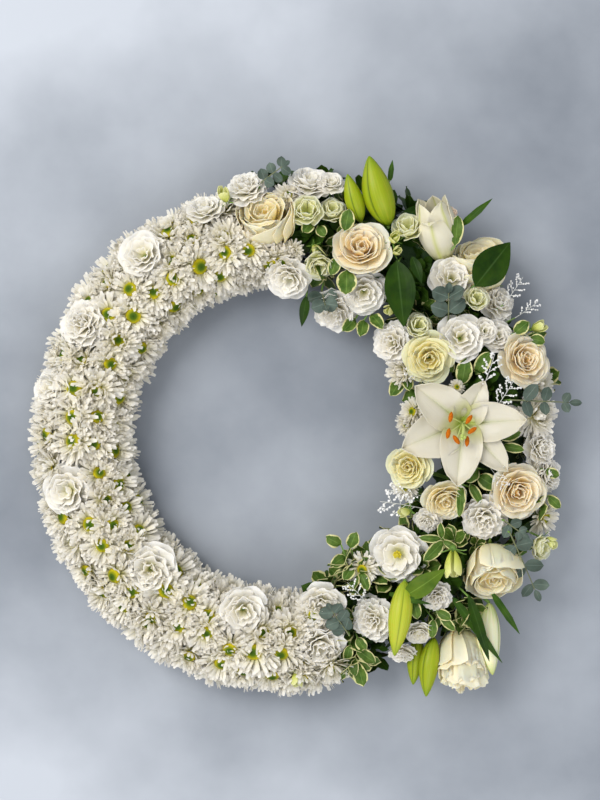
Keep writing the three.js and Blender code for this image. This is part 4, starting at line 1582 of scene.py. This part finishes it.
# broad leaves that show between the flowers: base and tip as (degrees, mm out, mm up), width in mm
LEAF_SPRIGS = {
    "rose": (
        ((75.1, 262, 92), (75.5, 290, 98), 20),
        ((70.9, 214, 92), (68.1, 184, 96), 27),
        ((75.3, 226, 88), (75.9, 202, 90), 17),
    ),
    "face_top": (
        ((14.1, 226, 84), (21.6, 241, 92), 22),
        ((18.9, 219, 80), (23.4, 214, 86), 18),
        ((16.0, 247, 84), (20.8, 272, 90), 20),
    ),
    "lily": (((-12.7, 246, 84), (-17.8, 235, 92), 18), ((-15.0, 249, 84), (-16.8, 276, 90), 22)),
    "centre": (((-18.9, 230, 92), (-28.5, 244, 102), 13), ((-18.0, 242, 84), (-22.1, 263, 90), 13)),
    "lily_side": (((-3.2, 269, 84), (-1.4, 295, 92), 16), ((-5.3, 273, 84), (-5.8, 301, 90), 13)),
    "face_lower": (
        ((-37.3, 245, 88), (-45.7, 242, 100), 17),
        ((-37.3, 245, 88), (-36.7, 265, 94), 10),
        ((-36.8, 241, 88), (-33.2, 227, 96), 10),
        ((-37.2, 241, 88), (-41.4, 217, 98), 11),
    ),
    "foot_face": (
        ((-55.3, 273, 92), (-57.0, 296, 98), 15),
        ((-52.0, 304, 86), (-50.6, 322, 94), 14),
        ((-52.2, 312, 84), (-51.5, 337, 92), 12),
        ((-54.0, 310, 80), (-56.7, 329, 82), 13),
    ),
    "foot_inner": (
        ((-67.9, 166, 80), (-73.3, 149, 90), 17),
        ((-68.1, 182, 80), (-74.7, 187, 90), 17),
        ((-64.8, 174, 84), (-59.1, 159, 94), 17),
        ((-67.0, 197, 84), (-71.6, 209, 94), 16),
        ((-65.2, 208, 86), (-65.3, 233, 94), 15),
    ),
    "shoulder": (((22.8, 312, 84), (24.0, 334, 88), 18), ((20.4, 329, 80), (18.5, 345, 84), 16)),
    "inner_top": (
        ((59.8, 163, 60), (62.3, 140, 74), 17),
        ((56.2, 167, 60), (53.0, 147, 74), 17),
        ((54.9, 179, 60), (47.5, 173, 78), 17),
    ),
    "inner_face": (((23.9, 156, 58), (17.2, 134, 66), 19), ((24.0, 161, 60), (17.1, 160, 74), 16)),
    "crown": (((84.7, 267, 84), (87.0, 252, 90), 17), ((82.9, 262, 84), (80.4, 250, 88), 15)),
    "foot": (
        ((-76.5, 312, 66), (-79.4, 338, 64), 15),
        ((-75.8, 304, 68), (-76.0, 337, 66), 15),
        ((-74.1, 302, 70), (-70.8, 327, 70), 17),
        ((-77.6, 295, 66), (-79.2, 322, 60), 9),
        ((-73.8, 319, 64), (-73.2, 336, 64), 14),
        ((-73.1, 288, 74), (-72.1, 307, 76), 15),
        ((-75.4, 295, 72), (-77.3, 315, 74), 13),
    ),
    "shoulder_top": (((48.1, 314, 92), (52, 347, 90), 18),),
    "right": (((-9.8, 334, 74), (-10.6, 353, 72), 14), ((-15.3, 345, 72), (-17.0, 365, 70), 14)),
}
for name, leaves in LEAF_SPRIGS.items():
    parts = []
    for base, tip, width in leaves:
        start, end = mm_point(*base), mm_point(*tip)
        blade = leaf(
            start, end, width * MM, pittosporum_leaf, oval, fold=0.12, wave=LEAF_WAVE, across=6, along=9
        )
        parts += [blade, stem_to_foam(start, 0.0012)]
    settle("pittosporum_%s_leaves" % name, parts)
for tuft in tufts:
    bpy.data.objects.remove(tuft)

# ---- Limonium ----
# Airy sprays of dried-looking sea lavender: thin forked twigs with rows of tiny white florets. Each
# is pushed into the foam by a thin stem of its own.

limonium_white = petal_material(
    "limonium_floret", [(0.0, (0.62, 0.64, 0.58)), (1.0, (0.86, 0.86, 0.86))], roughness=0.8, subsurface=0.1
)
SPRAY_LENGTH = 0.062


def limonium_model(name, seed):
    """A forked spray along +Y."""
    rng = random.Random(seed)
    twig = [(0, 0, 0), (0.002, 0.03, 0.002), (0, SPRAY_LENGTH, 0.004)]
    parts = [stalk(twig, 0.0006, limonium_white, thin=0.6, sides=4)]
    for k in range(7):
        share = 0.25 + 0.1 * k
        foot = Vector((0.001, SPRAY_LENGTH * share, 0.003))
        hand = 1 if k % 2 else -1
        length = rng.uniform(0.016, 0.026) * (1.1 - 0.4 * share)
        way = Vector((hand * rng.uniform(0.5, 0.9), rng.uniform(0.6, 1.0), rng.uniform(-0.1, 0.5)))
        way.normalize()
        end = foot + way * length
        parts.append(stalk([foot, end], 0.0005, limonium_white, sides=4))
        for j in range(6):
            at = foot.lerp(end, 0.35 + 0.13 * j)
            at += Vector((rng.gauss(0, 0.0012), rng.gauss(0, 0.0012), 0.0006))
            bpy.ops.object.select_all(action="DESELECT")
            bpy.ops.mesh.primitive_cone_add(vertices=4, radius1=0.0005, radius2=0.0017, depth=0.003)
            floret = bpy.context.object
            floret.data.transform(facing(at, way + Vector((rng.gauss(0, 0.5), rng.gauss(0, 0.5), 0.5))))
            mark(floret, along=0.9)
            floret.data.materials.append(limonium_white)
            parts.append(floret)
    return join(name, parts)


limonium_models = [limonium_model("limonium_model_%d" % n, 70 + n) for n in range(2)]
# each spray: foot and tip as (degrees round the ring, mm out, mm up)
LIMONIUM = {
    "limonium_inner": ((-32, 205, 66), (-41, 148, 84)),
    "limonium_inner_low": ((-28, 196, 70), (-34, 146, 90)),
    "limonium_lily_right": ((4, 258, 98), (12, 290, 112)),
    "limonium_lily_top": ((10, 246, 96), (20, 276, 108)),
    "limonium_shoulder": ((30, 316, 78), (33, 356, 84)),
    "limonium_shoulder_low": ((26, 322, 76), (27, 358, 80)),
    "limonium_inner_foot": ((-67.0, 253, 88), (-70.8, 212, 100)),
    "limonium_inner_upper": ((20, 190, 78), (26, 160, 88)),
    "limonium_face": ((-12, 262, 92), (-16, 286, 104)),
}
for number, (name, (base, tip)) in enumerate(LIMONIUM.items()):
    start, end = mm_point(*base), mm_point(*tip)
    y = (end - start).normalized()
    x = y.cross(Vector((0, 0, 1))).normalized()
    lay = Matrix((x, y, x.cross(y))).transposed().to_4x4()
    size = Matrix.Scale((end - start).length / SPRAY_LENGTH, 4)
    spray = copied(limonium_models[number % 2], Matrix.Translation(start) @ lay @ size)
    settle(name + "_spray", [spray, stem_to_foam(start, 0.0008)], name)
for model in limonium_models:
    bpy.data.objects.remove(model)

# ---- Floor, light and camera ----
# A plain pale blue-grey painted floor that the wreath lies on, clouded, and painted paler away from its
# middle, most on its left, as a painted pool of light. A large soft light from the upper left and a weaker
# one from the foot light the wreath, and the camera looks straight down on its face.

bpy.ops.object.select_all(action="DESELECT")
bpy.ops.mesh.primitive_plane_add(size=12, location=(0, 0, 0))
floor = bpy.context.object
floor.name = "floor"
floor_paint_and_painted_light, tree, shader = new_material("floor_paint_and_painted_light", 0.8)
place = add_node(tree, "TexCoord")
clouds = add_node(tree, "TexNoise", Scale=3.5, Detail=6)
spot = add_node(tree, "SeparateXYZ")
# painted light: a pool of light painted on the floor, paler towards the top and bottom of the view and most
# at its left; the clouds are the paint's own uneven tone
painted_light_spread = add_node(tree, "Math", operation="POWER")
painted_light_spread.inputs[1].default_value = 2
painted_light_pool = add_node(tree, "Math", operation="MULTIPLY_ADD")
painted_light_slope = add_node(tree, "Math", operation="MULTIPLY_ADD")
painted_light_slope.inputs[1].default_value = -2.2
painted_light_slope.inputs[2].default_value = 1.2
tint = add_node(tree, "ValToRGB")
fill_ramp(tint, [(0.3, (0.146, 0.168, 0.204)), (1.0, (0.455, 0.490, 0.550))])
wire(
    tree,
    (place, "Object", clouds, "Vector"),
    (place, "Object", spot, 0),
    (spot, "Y", painted_light_spread, 0),
    (spot, "X", painted_light_slope, 0),
    (painted_light_spread, 0, painted_light_pool, 0),
    (painted_light_slope, 0, painted_light_pool, 1),
    (clouds, "Fac", painted_light_pool, 2),
    (painted_light_pool, 0, tint, "Fac"),
    (tint, "Color", shader, "Base Color"),
)
floor.data.materials.append(floor_paint_and_painted_light)


def add_area_light(name, at, size, power, colour):
    """A round soft light that faces the wreath's middle."""
    data = bpy.data.lights.new(name, "AREA")
    data.shape = "DISK"
    data.size = size
    data.energy = power
    data.color = colour
    light = bpy.data.objects.new(name, data)
    light.location = at
    light.rotation_euler = (-Vector(at)).to_track_quat("-Z", "Y").to_euler()
    bpy.context.collection.objects.link(light)


add_area_light("key_light", (-1.5, 0.95, 2.4), 1.9, 75, (1.0, 0.97, 0.92))
add_area_light("fill_light", (0.5, -1.7, 2.2), 2.0, 30, (1.0, 0.98, 0.96))

world = bpy.data.worlds.new("studio")
world.use_nodes = True
world.node_tree.nodes["Background"].inputs["Color"].default_value = (0.94, 0.965, 1.0, 1)
world.node_tree.nodes["Background"].inputs["Strength"].default_value = 0.62
bpy.context.scene.world = world

# the camera over the middle of its view, and the height of that view at the flowers' level
CAMERA_HEIGHT = 2.4
VIEW_MIDDLE = (0.00924, 0.0343)
FACE_HEIGHT = 0.045
VIEW_HEIGHT = 1.056
SENSOR_HEIGHT = 36
camera_data = bpy.data.cameras.new("camera")
camera_data.sensor_fit = "VERTICAL"
camera_data.sensor_height = SENSOR_HEIGHT
camera_data.lens = SENSOR_HEIGHT * (CAMERA_HEIGHT - FACE_HEIGHT) / VIEW_HEIGHT
camera = bpy.data.objects.new("camera", camera_data)
camera.location = (*VIEW_MIDDLE, CAMERA_HEIGHT)
bpy.context.collection.objects.link(camera)
bpy.context.scene.camera = camera
bpy.context.scene.view_settings.view_transform = "Standard"
